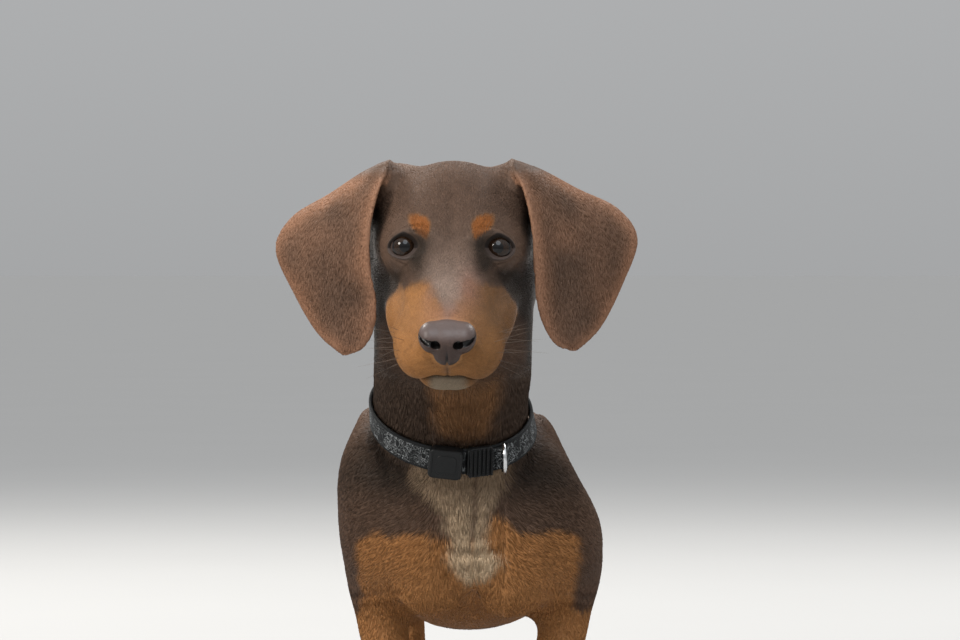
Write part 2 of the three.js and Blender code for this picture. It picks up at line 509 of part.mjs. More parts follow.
// ---------------------------------------------------------------- ears: thin blades hung from the ear roots
function earMiddle(side, v, w) {
  const front = EAR_FRONT[side], n = front.length - 1, at = (rows) => rowAt(smoothRows(rows, 8), v * n * 8);
  const a = at(front), b = at(EAR_REAR), c = at(EAR_BULGE), q = 4 * w * (1 - w);
  const o = a[0] + (b[0] - a[0]) * w, g = a[1] + (b[1] - a[1]) * w - c[1] * q, y = a[2] + (b[2] - a[2]) * w - c[0] * q;
  const t = rad(EAR.turn[side]), k = EAR.size[side];
  return new THREE.Vector3(EAR.rootX[side] + side * k * (o * Math.cos(t) + g * Math.sin(t)), y, EAR.rootZ - (g * Math.cos(t) - k * o * Math.sin(t)));
}
function earSolid(side) {
  const nv = 11, nw = 6, pts = [], tris = [], id = (k, i, j) => k * (nv + 1) * (nw + 1) + i * (nw + 1) + j;
  for (const face of [1, -1])
    for (let i = 0; i <= nv; i++)
      for (let j = 0; j <= nw; j++) {
        const v = 0.985 * (1 - (1 - i / nv) ** 1.25), w = 0.5 - 0.5 * Math.cos((Math.PI * j) / nw), e = 0.01;
        const m = earMiddle(side, v, w);
        const dv = earMiddle(side, Math.min(v + e, 0.99), w).sub(earMiddle(side, Math.max(v - e, 0), w));
        const dw = earMiddle(side, v, Math.min(w + e, 1)).sub(earMiddle(side, v, Math.max(w - e, 0)));
        const nrm = new THREE.Vector3().crossVectors(dw, dv).normalize().multiplyScalar(-side);
        const edge = Math.min(1, 0.45 + 3 * Math.min(w, 1 - w)) * Math.min(1, 0.45 + 5 * (1 - i / nv));
        m.addScaledVector(nrm, (face * EAR.thick * edge) / 2);
        pts.push([m.x, m.y, m.z]);
      }
  const quad = (a, b, c, d) => tris.push(a, b, c, a, c, d);
  for (let i = 0; i < nv; i++)
    for (let j = 0; j < nw; j++) {
      quad(id(0, i, j), id(0, i + 1, j), id(0, i + 1, j + 1), id(0, i, j + 1));
      quad(id(1, i, j), id(1, i, j + 1), id(1, i + 1, j + 1), id(1, i + 1, j));
    }
  for (let i = 0; i < nv; i++) {
    quad(id(0, i, 0), id(1, i, 0), id(1, i + 1, 0), id(0, i + 1, 0));
    quad(id(0, i + 1, nw), id(1, i + 1, nw), id(1, i, nw), id(0, i, nw));
  }
  for (let j = 0; j < nw; j++) {
    quad(id(0, 0, j + 1), id(1, 0, j + 1), id(1, 0, j), id(0, 0, j));
    quad(id(0, nv, j), id(1, nv, j), id(1, nv, j + 1), id(0, nv, j + 1));
  }
  if (side < 0) for (let i = 0; i < tris.length; i += 3) [tris[i + 1], tris[i + 2]] = [tris[i + 2], tris[i + 1]];
  return solid({ pts, tris });
}
for (const side of [1, -1]) parts[side > 0 ? "ear_left" : "ear_right"] = largest(earSolid(side).subtract(headGrown));

// ---------------------------------------------------------------- claws: short bent cones, four to a paw
function clawSolid(x, y, side, lean, grow) {
  const pts = [], tris = [], n = 5, rings = 3, L = CLAW.length;
  for (let i = 0; i <= rings; i++) {
    const t = i / rings, r = CLAW.root + (CLAW.tip - CLAW.root) * t ** 1.3 + grow;
    const cy = y + grow - (L + 2 * grow) * t, cz = 9.6 - 0.5 * L * t - 1.6 * t * t;
    for (let k = 0; k < n; k++) {
      const a = (2 * Math.PI * k) / n;
      pts.push([x + lean * L * t * 0.25 + Math.cos(a) * r * 0.75, cy - Math.sin(a) * r * 0.35, cz + Math.sin(a) * r]);
    }
  }
  for (let i = 0; i < rings; i++)
    for (let k = 0; k < n; k++) {
      const a = i * n + k, b = i * n + ((k + 1) % n);
      tris.push(a, b + n, a + n, a, b, b + n);
    }
  for (let k = 1; k < n - 1; k++) {
    tris.push(0, k + 1, k);
    tris.push(rings * n, rings * n + k, rings * n + k + 1);
  }
  return solid({ pts, tris });
}
for (const [kind, spec, mid] of [["forepaw", FORE_PAW, FORE_X], ["hindpaw", HIND_PAW, HIND_X]])
  for (const side of [1, -1]) {
    const name = side > 0 ? "left" : "right";
    [[-0.62, -0.34, 7], [-0.22, -0.66, 7.6], [0.22, -0.66, 7.6], [0.62, -0.34, 7]].forEach(([sx, fy, r], i) => {
      const x = mid + side * (spec.x + sx * spec.half), y = spec.y + fy * spec.reach - r * 1.35 + 3;
      parts[`claw_${kind}_${name}_${i + 1}`] = clawSolid(x, y, side, side * sx, 0);
      parts[`${kind}_${name}`] = largest(parts[`${kind}_${name}`].subtract(clawSolid(x, y, side, side * sx, 0.35)));
    });
  }

// ---------------------------------------------------------------- collar: a band of webbing round the neck
const collarN = new THREE.Vector3(COLLAR.rollSlope, -COLLAR.tilt, 1).normalize();
const collarX = new THREE.Vector3(1, 0, 0).addScaledVector(collarN, -collarN.x).normalize();
const collarY = new THREE.Vector3().crossVectors(collarN, collarX);
// a point at an angle round the band (0 at the dog's left, -90 at the front), a radius and a height along its width
const onCollar = (deg, r, w) => new THREE.Vector3(...COLLAR.mid).addScaledVector(collarX, Math.cos(rad(deg)) * r).addScaledVector(collarY, Math.sin(rad(deg)) * r).addScaledVector(collarN, w);
function coatRadius(deg, w) {
  let a = 20, b = 90;
  for (let i = 0; i < 24; i++) {
    const m = (a + b) / 2, p = onCollar(deg, m, w);
    if (whole(p.x, p.y, p.z) < 0) a = m;
    else b = m;
  }
  return a;
}
const bandRadius = (deg, w) => {
  let sum = 0; // evened over a few degrees, as stiff webbing is
  for (const d of [-12, -6, 0, 6, 12]) sum += coatRadius(deg + d, w);
  return sum / 5 + COLLAR.clear;
};
function bandSolid(steps) {
  const pts = [], tris = [];
  for (let i = 0; i < steps; i++) {
    const deg = (360 * i) / steps, h = COLLAR.width / 2;
    const lo = bandRadius(deg, -h), hi = bandRadius(deg, h);
    for (const [r, w] of [[lo, -h], [lo + COLLAR.thick, -h], [hi + COLLAR.thick, h], [hi, h]]) pts.push(onCollar(deg, r, w).toArray());
  }
  for (let i = 0; i < steps; i++)
    for (let k = 0; k < 4; k++) {
      const a = i * 4 + k, b = i * 4 + ((k + 1) % 4), c = ((i + 1) % steps) * 4 + ((k + 1) % 4), d = ((i + 1) % steps) * 4 + k;
      tris.push(a, c, b, a, d, c);
    }
  let s = solid({ pts, tris });
  return s;
}
// a rounded block set against the neck at an angle round the band
function plate(spec, grow) {
  const { angle, length, width, thick } = spec, r0 = Math.max(bandRadius(angle, -5), bandRadius(angle, 5)) - 0.1;
  const shape = new THREE.Shape(), a = length / 2 + grow, b = width / 2 + grow, c = 3;
  shape.moveTo(-a + c, -b).lineTo(a - c, -b).quadraticCurveTo(a, -b, a, -b + c).lineTo(a, b - c).quadraticCurveTo(a, b, a - c, b).lineTo(-a + c, b).quadraticCurveTo(-a, b, -a, b - c).lineTo(-a, -b + c).quadraticCurveTo(-a, -b, -a + c, -b);
  const g = new THREE.ExtrudeGeometry(shape, { depth: thick - 1.6 + (grow ? 30 : 0), bevelEnabled: !grow, bevelThickness: 0.8, bevelSize: 0.8, bevelOffset: -0.8, bevelSegments: 1, curveSegments: 3 });
  const lo = bandRadius(angle, -COLLAR.width / 2), hi = bandRadius(angle, COLLAR.width / 2);
  const up = onCollar(angle, hi, COLLAR.width / 2).sub(onCollar(angle, lo, -COLLAR.width / 2)).normalize();
  const along = onCollar(angle + 4, bandRadius(angle + 4, 0), 0).sub(onCollar(angle - 4, bandRadius(angle - 4, 0), 0)).normalize();
  const out = new THREE.Vector3().crossVectors(along, up).normalize();
  if (out.dot(onCollar(angle, 1, 0).sub(onCollar(angle, 0, 0))) < 0) out.negate();
  const upright = new THREE.Vector3().crossVectors(out, along);
  const m = new THREE.Matrix4().makeBasis(along, upright, out);
  g.translate(0, 0, grow ? -14 : 0.8);
  g.applyMatrix4(m);
  const o = onCollar(angle, r0 + (grow ? 0 : 0), 0);
  g.translate(o.x, o.y, o.z);
  return solidOf(g);
}
const bandSteps = 36;
let band = bandSolid(bandSteps);
const coatGrown = solid(polygonize(whole, [-84, -130, 110], [74, 54, 260], CELL.neck * 0.5, 0.35));
const shown = (spec) => largest(plate(spec, 0).subtract(coatGrown));
parts.collar_buckle = shown(BUCKLE);
parts.collar_slider = shown(SLIDER);
band = band.subtract(plate(BUCKLE, 0.35)).subtract(plate(SLIDER, 0.35));
parts.collar_band = largest(band.subtract(parts.neck));

// D-ring: its straight side lies across the band in a folded keeper of webbing, its bow stands out in front
{
  const spec = { ...DRING }, deg = spec.angle;
  const lo = bandRadius(deg, -7.5) + COLLAR.thick, hi = bandRadius(deg, 7.5) + COLLAR.thick;
  const base = onCollar(deg, (lo + hi) / 2, 0);
  const up = onCollar(deg, hi, 7.5).sub(onCollar(deg, lo, -7.5)).normalize();
  const along0 = onCollar(deg + 4, bandRadius(deg + 4, 0), 0).sub(onCollar(deg - 4, bandRadius(deg - 4, 0), 0)).normalize();
  const along = along0.addScaledVector(up, -along0.dot(up)).normalize();
  const out = new THREE.Vector3().crossVectors(along, up).normalize();
  if (out.dot(onCollar(deg, 1, 0).sub(onCollar(deg, 0, 0))) < 0) out.negate();
  const tipped = out.clone().multiplyScalar(Math.cos(rad(spec.lean))).addScaledVector(along, -Math.sin(rad(spec.lean)));
  const basis = new THREE.Matrix4().makeBasis(up, tipped, up.clone().cross(tipped));
  const hinge = base.clone().addScaledVector(out, spec.wire + 0.35).addScaledVector(tipped, -spec.wire - 0.35);
  // closed D path in the plane of width (x) and outward (y)
  const path = [];
  const b = spec.bar, q = spec.wire;
  for (let i = 0; i <= 2; i++) path.push([-b + b * i, q + 0.35]);
  for (let i = 1; i < 10; i++) {
    const a = (Math.PI * i) / 10;
    path.push([b * Math.cos(a) * (1 + 0.06 * Math.sin(a)), q + 0.35 + (spec.reach - 2 * q) * Math.sin(a) ** 0.8]);
  }
  const ring = (wire) => {
    const N = path.length, sides = 5, pts = [], tris = [];
    for (let i = 0; i < N; i++) {
      const [x, y] = path[i], [xa, ya] = path[(i + N - 1) % N], [xb, yb] = path[(i + 1) % N];
      const t = new THREE.Vector2(xb - xa, yb - ya).normalize();
      for (let k = 0; k < sides; k++) {
        const a = (2 * Math.PI * (k + 0.5)) / sides;
        const p = new THREE.Vector3(x - t.y * Math.cos(a) * wire, y + t.x * Math.cos(a) * wire, Math.sin(a) * wire).applyMatrix4(basis).add(hinge);
        pts.push(p.toArray());
      }
    }
    for (let i = 0; i < N; i++)
      for (let k = 0; k < sides; k++) {
        const a = i * sides + k, b2 = i * sides + ((k + 1) % sides), c = ((i + 1) % N) * sides + ((k + 1) % sides), d = ((i + 1) % N) * sides + k;
        tris.push(a, c, b2, a, d, c);
      }
    let s = solid({ pts, tris });
    if (s.volume() < 0) {
      for (let i = 0; i < tris.length; i += 3) [tris[i + 1], tris[i + 2]] = [tris[i + 2], tris[i + 1]];
      s = solid({ pts, tris });
    }
    return s;
  };
  parts.collar_ring = ring(spec.wire);
  const shape = new THREE.Shape();
  const R = 2.7;
  shape.moveTo(-4.6, 0.35).lineTo(4.6, 0.35).lineTo(4.2, 1.1).quadraticCurveTo(2.8, 1.4, R - 0.5, 2.6).quadraticCurveTo(0, 4.6, -R + 0.5, 2.6).quadraticCurveTo(-2.8, 1.4, -4.2, 1.1).lineTo(-4.6, 0.35);
  const g = new THREE.ExtrudeGeometry(shape, { depth: 13, bevelEnabled: false, curveSegments: 4 });
  g.translate(0, 0, -6.5);
  g.applyMatrix4(new THREE.Matrix4().makeBasis(up.clone().cross(out).negate(), out, up));
  g.translate(base.x, base.y, base.z);
  parts.collar_keeper = largest(solidOf(g).subtract(ring(spec.wire + 0.3)).subtract(coatGrown).subtract(parts.collar_band).subtract(plate(SLIDER, 0.35)));
}

// ---------------------------------------------------------------- finish and hand over
const FINISH = {
  coat: { color: 0x4a2e20, roughness: 0.75, metalness: 0 },
  tan: { color: 0x9a5a2c, roughness: 0.75, metalness: 0 },
  nose: { color: 0x4b3436, roughness: 0.4, metalness: 0 },
  eye: { color: 0x1d120c, roughness: 0.05, metalness: 0 },
  claw: { color: 0x3b2a22, roughness: 0.45, metalness: 0 },
  webbing: { color: 0x1c2022, roughness: 0.85, metalness: 0 },
  buckle: { color: 0x0c0d0e, roughness: 0.45, metalness: 0 },
  ring: { color: 0xc9cbcc, roughness: 0.2, metalness: 1 },
};
const finishOf = (name) =>
  name.startsWith("claw") ? "claw" : name.startsWith("eye") ? "eye" : name === "nose" ? "nose" : /paw|lower_jaw/.test(name) ? "tan" : name === "collar_ring" ? "ring" : /buckle|slider/.test(name) ? "buckle" : name.startsWith("collar") ? "webbing" : "coat";
const root = new THREE.Group();
root.position.set(...SHIFT);
for (const [name, s] of Object.entries(parts)) {
  const m = s.getMesh(), v = new Float32Array(m.numVert * 3);
  for (let i = 0; i < m.numVert; i++) for (let k = 0; k < 3; k++) v[i * 3 + k] = m.vertProperties[i * m.numProp + k];
  const g = new THREE.BufferGeometry();
  g.setAttribute("position", new THREE.BufferAttribute(v, 3));
  g.setIndex(new THREE.BufferAttribute(new Uint32Array(m.triVerts), 1));
  const mesh = new THREE.Mesh(g, new THREE.MeshStandardMaterial(FINISH[finishOf(name)]));
  mesh.name = name;
  root.add(mesh);
}

export default root;
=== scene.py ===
import math
import time
import bpy
import bmesh
import numpy as np
from math import sin, cos, radians, pi
from mathutils import Vector, Matrix
from mathutils.bvhtree import BVHTree
from mathutils.kdtree import KDTree


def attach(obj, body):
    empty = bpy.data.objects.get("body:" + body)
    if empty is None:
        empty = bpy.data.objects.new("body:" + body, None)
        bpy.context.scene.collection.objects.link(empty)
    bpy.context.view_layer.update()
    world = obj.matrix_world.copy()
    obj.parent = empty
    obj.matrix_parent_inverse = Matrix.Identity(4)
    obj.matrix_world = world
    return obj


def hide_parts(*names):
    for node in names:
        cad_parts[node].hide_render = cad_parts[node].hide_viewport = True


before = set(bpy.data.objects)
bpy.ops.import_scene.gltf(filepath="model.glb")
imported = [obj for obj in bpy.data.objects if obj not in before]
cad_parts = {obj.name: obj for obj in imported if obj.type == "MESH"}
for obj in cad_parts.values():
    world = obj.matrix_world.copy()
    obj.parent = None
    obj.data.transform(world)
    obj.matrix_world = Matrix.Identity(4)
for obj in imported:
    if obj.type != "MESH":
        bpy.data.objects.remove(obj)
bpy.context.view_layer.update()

# A young smooth-coated dachshund. Millimetres in the arithmetic, metres in the meshes.
# The dog faces -Y, its left side is +X, and it stands on Z = 0.
T0 = time.time()
def tick(word):
    print("time %6.1f %s" % (time.time() - T0, word), flush=True)

rng = np.random.default_rng(7)
SHIFT = np.array([5.1, -134.6, 0.0])
LEAN, ROLL, FORE_X, HIND_X = 0.125, 0.07, 4.0, 9.0
FORE_PAW = (42.0, -14.0, 18.5, 24.0)
HIND_PAW = (46.0, 250.0, 16.5, 22.0)
EYE = (25.7, -5.6, -4.2, 8.4)
TOES = ((-0.62, -0.34, 7.0), (-0.22, -0.66, 7.6), (0.22, -0.66, 7.6), (0.62, -0.34, 7.0))

TRUNK_ROWS = [(-30, 172, 94, 40, 0), (0, 186, 73, 54, 0), (40, 190, 63, 60, 1), (80, 189, 66, 63, 2.5), (120, 188, 72, 61, 4),
              (160, 189, 83, 55, 5.5), (200, 190, 92, 50, 7), (240, 184, 98, 45, 9), (262, 174, 106, 38, 10)]
NECK_ROWS = [(0, 12, 146, 47, 56), (-5, -6, 166, 45, 53), (-8.6, -24, 194, 44.2, 47.5), (-7.4, -40, 222, 45.6, 44), (-7, -58, 256, 45.2, 41)]
FORE_ROWS = [(50, -4, 118, 24, 34), (55, 8, 96, 18.5, 24), (54, 10, 80, 15.5, 19), (50, 3, 58, 14, 16), (44, -4, 36, 12.5, 13.5), (42, -9, 20, 13, 14.5)]
HIND_ROWS = [(31, 240, 140, 23, 40), (39, 230, 117, 22, 36), (46, 221, 97, 17.5, 27), (47, 237, 75, 12.8, 17.5), (46, 259, 56, 10, 11.5), (46, 262, 38, 10.5, 11), (46, 258, 18, 11, 12.5)]
TAIL_ROWS = [(9, 252, 170, 18, 15), (10, 280, 163, 13, 12.5), (11.5, 320, 150, 10.5, 10), (13, 360, 136, 8.3, 8), (13.5, 400, 123, 6, 6), (13, 428, 113, 4.2, 4.2)]
MUZZLE_ROWS = [(-16, 10, -44, 32), (0, 5.5, -46, 29.5), (12, 1.5, -46, 27.5), (26, -1.2, -45, 25.5), (42, -4.8, -44, 23.5), (56, -8.5, -41, 19.5), (60, -10, -40, 18)]
EAR_FRONT = {1: [(-1, 3, -90), (4, 17, -95), (6.6, 38, -97), (6.2, 60, -96), (6.2, 79, -93.5), (9.6, 94, -91), (15.2, 103.5, -89), (24, 107.5, -86)],
             -1: [(0, 3, -90), (5.6, 17, -95), (10, 38, -97), (9.8, 60, -96), (6.6, 79, -93.5), (8.6, 94, -91), (14.5, 103.5, -89), (24, 107.5, -86)]}
EAR_REAR = [(0, -1, -52), (14, 4, -52), (34, 17, -51.5), (55, 30, -51), (64, 48, -54), (54, 72, -64), (40, 95, -77), (25, 107.8, -86)]
EAR_BULGE = [(3, 3), (5, 3), (8, 1), (9, 0), (9, 0), (8, 0), (5, 0), (0, 0)]
EAR_ROOT_Z = 334.0
EAR_ROOT_X = {1: 26.5, -1: -42.5}
EAR_TURN = {1: radians(4.5), -1: 0.0}
EAR_SIZE = {1: 1.04, -1: 1.01}

# ------------------------------------------------------------------ field arithmetic
def smin(a, b, k):
    h = np.clip(0.5 + 0.5 * (b - a) / k, 0.0, 1.0)
    return b + (a - b) * h - k * h * (1.0 - h)

def smax(a, b, k):
    return -smin(-a, -b, k)

def sstep(e0, e1, x):
    t = np.clip((x - e0) / (e1 - e0), 0.0, 1.0)
    return t * t * (3 - 2 * t)

def bell(x, w):
    return np.exp(-(x / w) ** 2)

def ell(x, y, z, c, r):
    dx, dy, dz = (x - c[0]) / r[0], (y - c[1]) / r[1], (z - c[2]) / r[2]
    k0 = np.sqrt(dx * dx + dy * dy + dz * dz)
    k1 = np.sqrt((dx / r[0]) ** 2 + (dy / r[1]) ** 2 + (dz / r[2]) ** 2)
    return k0 * (k0 - 1.0) / np.maximum(k1, 1e-6)

def rows_smooth(rows, n):
    st = np.asarray(rows, float)
    out, m = [], len(st)
    for i in range(m - 1):
        a, b, c, d = st[max(i - 1, 0)], st[i], st[i + 1], st[min(i + 2, m - 1)]
        for j in range(n):
            t = j / n
            out.append(0.5 * (2 * b + (c - a) * t + (2 * a - 5 * b + 4 * c - d) * t * t + (3 * b - a - 3 * c + d) * t ** 3))
    out.append(st[-1])
    return np.array(out)

class Strand:
    """a rounded form strung on a bent line: rows of x, y, z, half size across, half size fore and aft"""
    def __init__(self, rows, n, spread, reach=34.0):
        self.st = rows_smooth(rows, n)
        s = self.st
        d = np.empty((len(s), 3))
        for i in range(len(s)):
            d[i] = s[min(i + 1, len(s) - 1), :3] - s[max(i - 1, 0), :3]
        self.dir = d / np.linalg.norm(d, axis=1, keepdims=True)
        self.spread = spread
        r = s[:, 3:5].max() + reach
        self.lo, self.hi = s[:, :3].min(0) - r, s[:, :3].max(0) + r

    def __call__(self, x, y, z):
        lo, hi = self.lo, self.hi
        m = (x > lo[0]) & (x < hi[0]) & (y > lo[1]) & (y < hi[1]) & (z > lo[2]) & (z < hi[2])
        out = np.full(x.shape, 90.0)
        if not m.any():
            return out
        out[m] = self.inner(x[m], y[m], z[m])
        return out

    def place(self, x, y, z):
        st = self.st
        D = (x[:, None] - st[:, 0]) ** 2 + (y[:, None] - st[:, 1]) ** 2 + (z[:, None] - st[:, 2]) ** 2
        W = np.exp(-(D - D.min(1, keepdims=True)) / (self.spread ** 2))
        return (W * np.arange(len(st))).sum(1) / W.sum(1)

    def inner(self, x, y, z):
        st, idx = self.st, np.arange(len(self.st))
        t = self.place(x, y, z)
        cx, cy, cz, a, b = (np.interp(t, idx, st[:, k]) for k in range(5))
        tx, ty, tz = (np.interp(t, idx, self.dir[:, k]) for k in range(3))
        l = np.sqrt(tx * tx + ty * ty + tz * tz)
        tx, ty, tz = tx / l, ty / l, tz / l
        ax, ay, az = 1 - tx * tx, -tx * ty, -tx * tz
        l = np.sqrt(ax * ax + ay * ay + az * az)
        ax, ay, az = ax / l, ay / l, az / l
        bx, by, bz = ty * az - tz * ay, tz * ax - tx * az, tx * ay - ty * ax
        px, py, pz = x - cx, y - cy, z - cz
        u = (px * ax + py * ay + pz * az) / a
        v = (px * bx + py * by + pz * bz) / b
        rw = 0.5 * (a + b)
        w = (px * tx + py * ty + pz * tz) / rw
        k0 = np.sqrt(u * u + v * v + w * w)
        k1 = np.sqrt((u / a) ** 2 + (v / b) ** 2 + (w / rw) ** 2)
        return k0 * (k0 - 1) / np.maximum(k1, 1e-6)

def lengthwise(rows, n, power, cap0, cap1):
    R = rows_smooth(rows, n)
    T = R[:, 0]
    mid = R[:, 4] if R.shape[1] > 4 else np.zeros(len(R))
    def f(t, a, b):
        tt = np.clip(t, T[0], T[-1])
        top, bottom, half, m = np.interp(tt, T, R[:, 1]), np.interp(tt, T, R[:, 2]), np.interp(tt, T, R[:, 3]), np.interp(tt, T, mid)
        hb = (top - bottom) / 2
        u, v = np.abs(a - m) / half, np.abs(b - (top + bottom) / 2) / hb
        w = np.where(t < T[0], (T[0] - t) / cap0, np.where(t > T[-1], (t - T[-1]) / cap1, 0.0))
        cap = np.where(t < T[0], cap0, cap1)
        g = (u ** power + v ** power) ** (1.0 / power)
        k0 = np.sqrt(g * g + w * w)
        gn = np.maximum(g, 1e-6)
        gu, gv = (u / gn) ** (power - 1) / half, (v / gn) ** (power - 1) / hb
        k1 = np.sqrt((g * gu) ** 2 + (g * gv) ** 2 + (w / cap) ** 2) / np.maximum(k0, 1e-6)
        return (k0 - 1) / np.maximum(k1, 1e-6)
    return f

trunk_form = lengthwise(TRUNK_ROWS, 6, 2.2, 26, 24)
muzzle_form = lengthwise(MUZZLE_ROWS, 4, 2.5, 14, 11)
neck_form = Strand(NECK_ROWS, 5, 5)
fore_form = Strand(FORE_ROWS, 5, 4)
hind_form = Strand(HIND_ROWS, 5, 4)
tail_form = Strand(TAIL_ROWS, 6, 4)

def noise_table(seed, n=32):
    return np.random.default_rng(seed).random((n, n, n))
NOISE = {k: noise_table(k) for k in range(4)}
def vnoise(x, y, z, scale, seed=0):
    """smooth value noise, -1..1"""
    N = NOISE[seed]
    q = [np.asarray(c) / scale + 100.0 + 17.3 * seed for c in (x, y, z)]
    i = [np.floor(c).astype(int) for c in q]
    f = [c - k for c, k in zip(q, i)]
    f = [c * c * (3 - 2 * c) for c in f]
    i0, i1 = [k % 32 for k in i], [(k + 1) % 32 for k in i]
    out = 0
    for a in (0, 1):
        for b in (0, 1):
            for c in (0, 1):
                w = (f[0] if a else 1 - f[0]) * (f[1] if b else 1 - f[1]) * (f[2] if c else 1 - f[2])
                out = out + w * N[i1[0] if a else i0[0], i1[1] if b else i0[1], i1[2] if c else i0[2]]
    return 2 * out - 1

# ------------------------------------------------------------------ head frame
MID = np.array([-8.0, -112.0, 286.6])
def head_axes():
    P, Y, R = radians(35.0), radians(2.0), radians(-0.8)
    F = np.array([-sin(Y) * cos(P), -cos(Y) * cos(P), -sin(P)])
    S = np.array([cos(Y), -sin(Y), 0.0])
    U = np.cross(F, S)
    return S * cos(R) + U * sin(R), F, U * cos(R) - S * sin(R)
HS, HF, HU = head_axes()
def to_head(x, y, z):
    dx, dy, dz = x - MID[0], y - MID[1], z - MID[2]
    return (dx * HS[0] + dy * HS[1] + dz * HS[2], dx * HF[0] + dy * HF[1] + dz * HF[2], dx * HU[0] + dy * HU[1] + dz * HU[2])
def from_head(s, f, u):
    return MID + s * HS + f * HF + u * HU

def paw_form(x, y, z, half, reach, k=2.5):
    d = ell(x, y, z, (0, 3, 12), (half * 0.86, reach * 0.78, 13.5))
    for sx, fy, r in TOES:
        d = smin(d, ell(x, y, z, (sx * half, fy * reach, 8.6), (r * 0.82, r * 1.35, r * 1.28)), k)
    return d

def body_form(x, y, z, toes=2.5):
    w = (1 - sstep(40, 210, y)) * sstep(60, 110, z)
    xw = x - w * (3.0 - LEAN * (np.minimum(z, 190) - 105))
    zw = z + w * ROLL * xw
    ax = np.abs(xw)
    d = trunk_form(y, xw, zw)
    d = smin(d, ell(ax, y, zw, (44, 3, 129), (29.5, 46, 55)), 16)
    d = smin(d, np.minimum(ell(xw, y, zw, (49, 18, 165), (13, 26, 30)), ell(xw, y, zw, (-47, 18, 162), (13, 26, 30))), 8)
    d = smin(d, ell(ax, y, zw, (23, -34, 112), (27, 22, 36)), 10)
    d = smin(d, ell(xw, y, zw, (0, -44, 120), (17, 14, 26)), 10)
    d = smin(d, neck_form(x, y, z), 9)
    xr, xf = np.abs(x - HIND_X), np.abs(x - FORE_X)
    d = smin(d, ell(xr, y, z, (24, 244, 152), (24, 38, 35)), 18)
    near = z < 190
    if near.all():
        d = smin(d, smin(fore_form(xf, y, z), paw_form(xf - FORE_PAW[0], y - FORE_PAW[1], z, FORE_PAW[2], FORE_PAW[3], toes), 6), 12)
        d = smin(d, smin(hind_form(xr, y, z), paw_form(xr - HIND_PAW[0], y - HIND_PAW[1], z, HIND_PAW[2], HIND_PAW[3], toes), 6), 14)
    elif near.any():
        q, p, x1, x2, y1, z1 = near, d[near], xf[near], xr[near], y[near], z[near]
        p = smin(p, smin(fore_form(x1, y1, z1), paw_form(x1 - FORE_PAW[0], y1 - FORE_PAW[1], z1, FORE_PAW[2], FORE_PAW[3], toes), 6), 12)
        p = smin(p, smin(hind_form(x2, y1, z1), paw_form(x2 - HIND_PAW[0], y1 - HIND_PAW[1], z1, HIND_PAW[2], HIND_PAW[3], toes), 6), 14)
        d = d.copy()
        d[q] = p
    return smin(d, tail_form(x, y, z), 14)

def nose_form(s, f, u):
    d = smin(ell(s, f, u, (0, 61.5, -15.6), (14, 10.6, 7.9)), ell(s, f, u, (0, 62.6, -23.6), (10.4, 9.3, 9.4)), 4)
    return smin(d, ell(np.abs(s), f, u, (9.8, 62.6, -15.6), (5.7, 8.2, 7.3)), 3)
def jaw_form(s, f, u):
    d = ell(s, f, u, (0, 44.3, -49.2), (13.5, 17, 9.6))
    return smin(d, ell(np.abs(s), f, u, (9, 14, -50), (14, 44, 11)), 8)
def skull_form(s, f, u):
    a = np.abs(s)
    d = ell(s, f, u, (0, -37, -15), (42.5, 44, 38))
    d = smin(d, ell(a, f, u, (15, -14, 1), (16, 16, 12)), 12)
    d = smin(d, ell(a, f, u, (27.5, -26, -13), (15, 26, 14)), 8)
    d = smin(d, ell(a, f, u, (26.5, -39, -34), (18, 26, 24)), 10)
    d = smin(d, ell(a, f, u, (29.5, -50, 2.4), (12, 20, 14)), 9)
    d = smin(d, ell(a, f, u, (39.2, -47, -28), (10, 13, 46)), 7)
    m = muzzle_form(f, s, u)
    m = smin(m, ell(a, f, u, (16, 39, -35.5), (15, 28, 16)), 9)
    m = smin(m, ell(a, f, u, (19, 8, -38), (17.5, 28, 14.5)), 9)
    m = smin(m, ell(s, f, u, (0, 51, -39), (13, 13, 7)), 3)
    return smin(d, m, 9)

# ------------------------------------------------------------------ the collar's plane
CMID, CWIDTH, CTHICK, CCLEAR = np.array([-6.0, -22.0, 190.5]), 15.0, 1.9, 0.5
CN = np.array([0.095, -0.554, 1.0]); CN /= np.linalg.norm(CN)
CX = np.array([1.0, 0, 0]) - CN * CN[0]; CX /= np.linalg.norm(CX)
CY = np.cross(CN, CX)
def collar_height(x, y, z):
    return (x - CMID[0]) * CN[0] + (y - CMID[1]) * CN[1] + (z - CMID[2]) * CN[2]
def collar_radius(x, y, z):
    a = (x - CMID[0]) * CX[0] + (y - CMID[1]) * CX[1] + (z - CMID[2]) * CX[2]
    b = (x - CMID[0]) * CY[0] + (y - CMID[1]) * CY[1] + (z - CMID[2]) * CY[2]
    return np.sqrt(a * a + b * b)

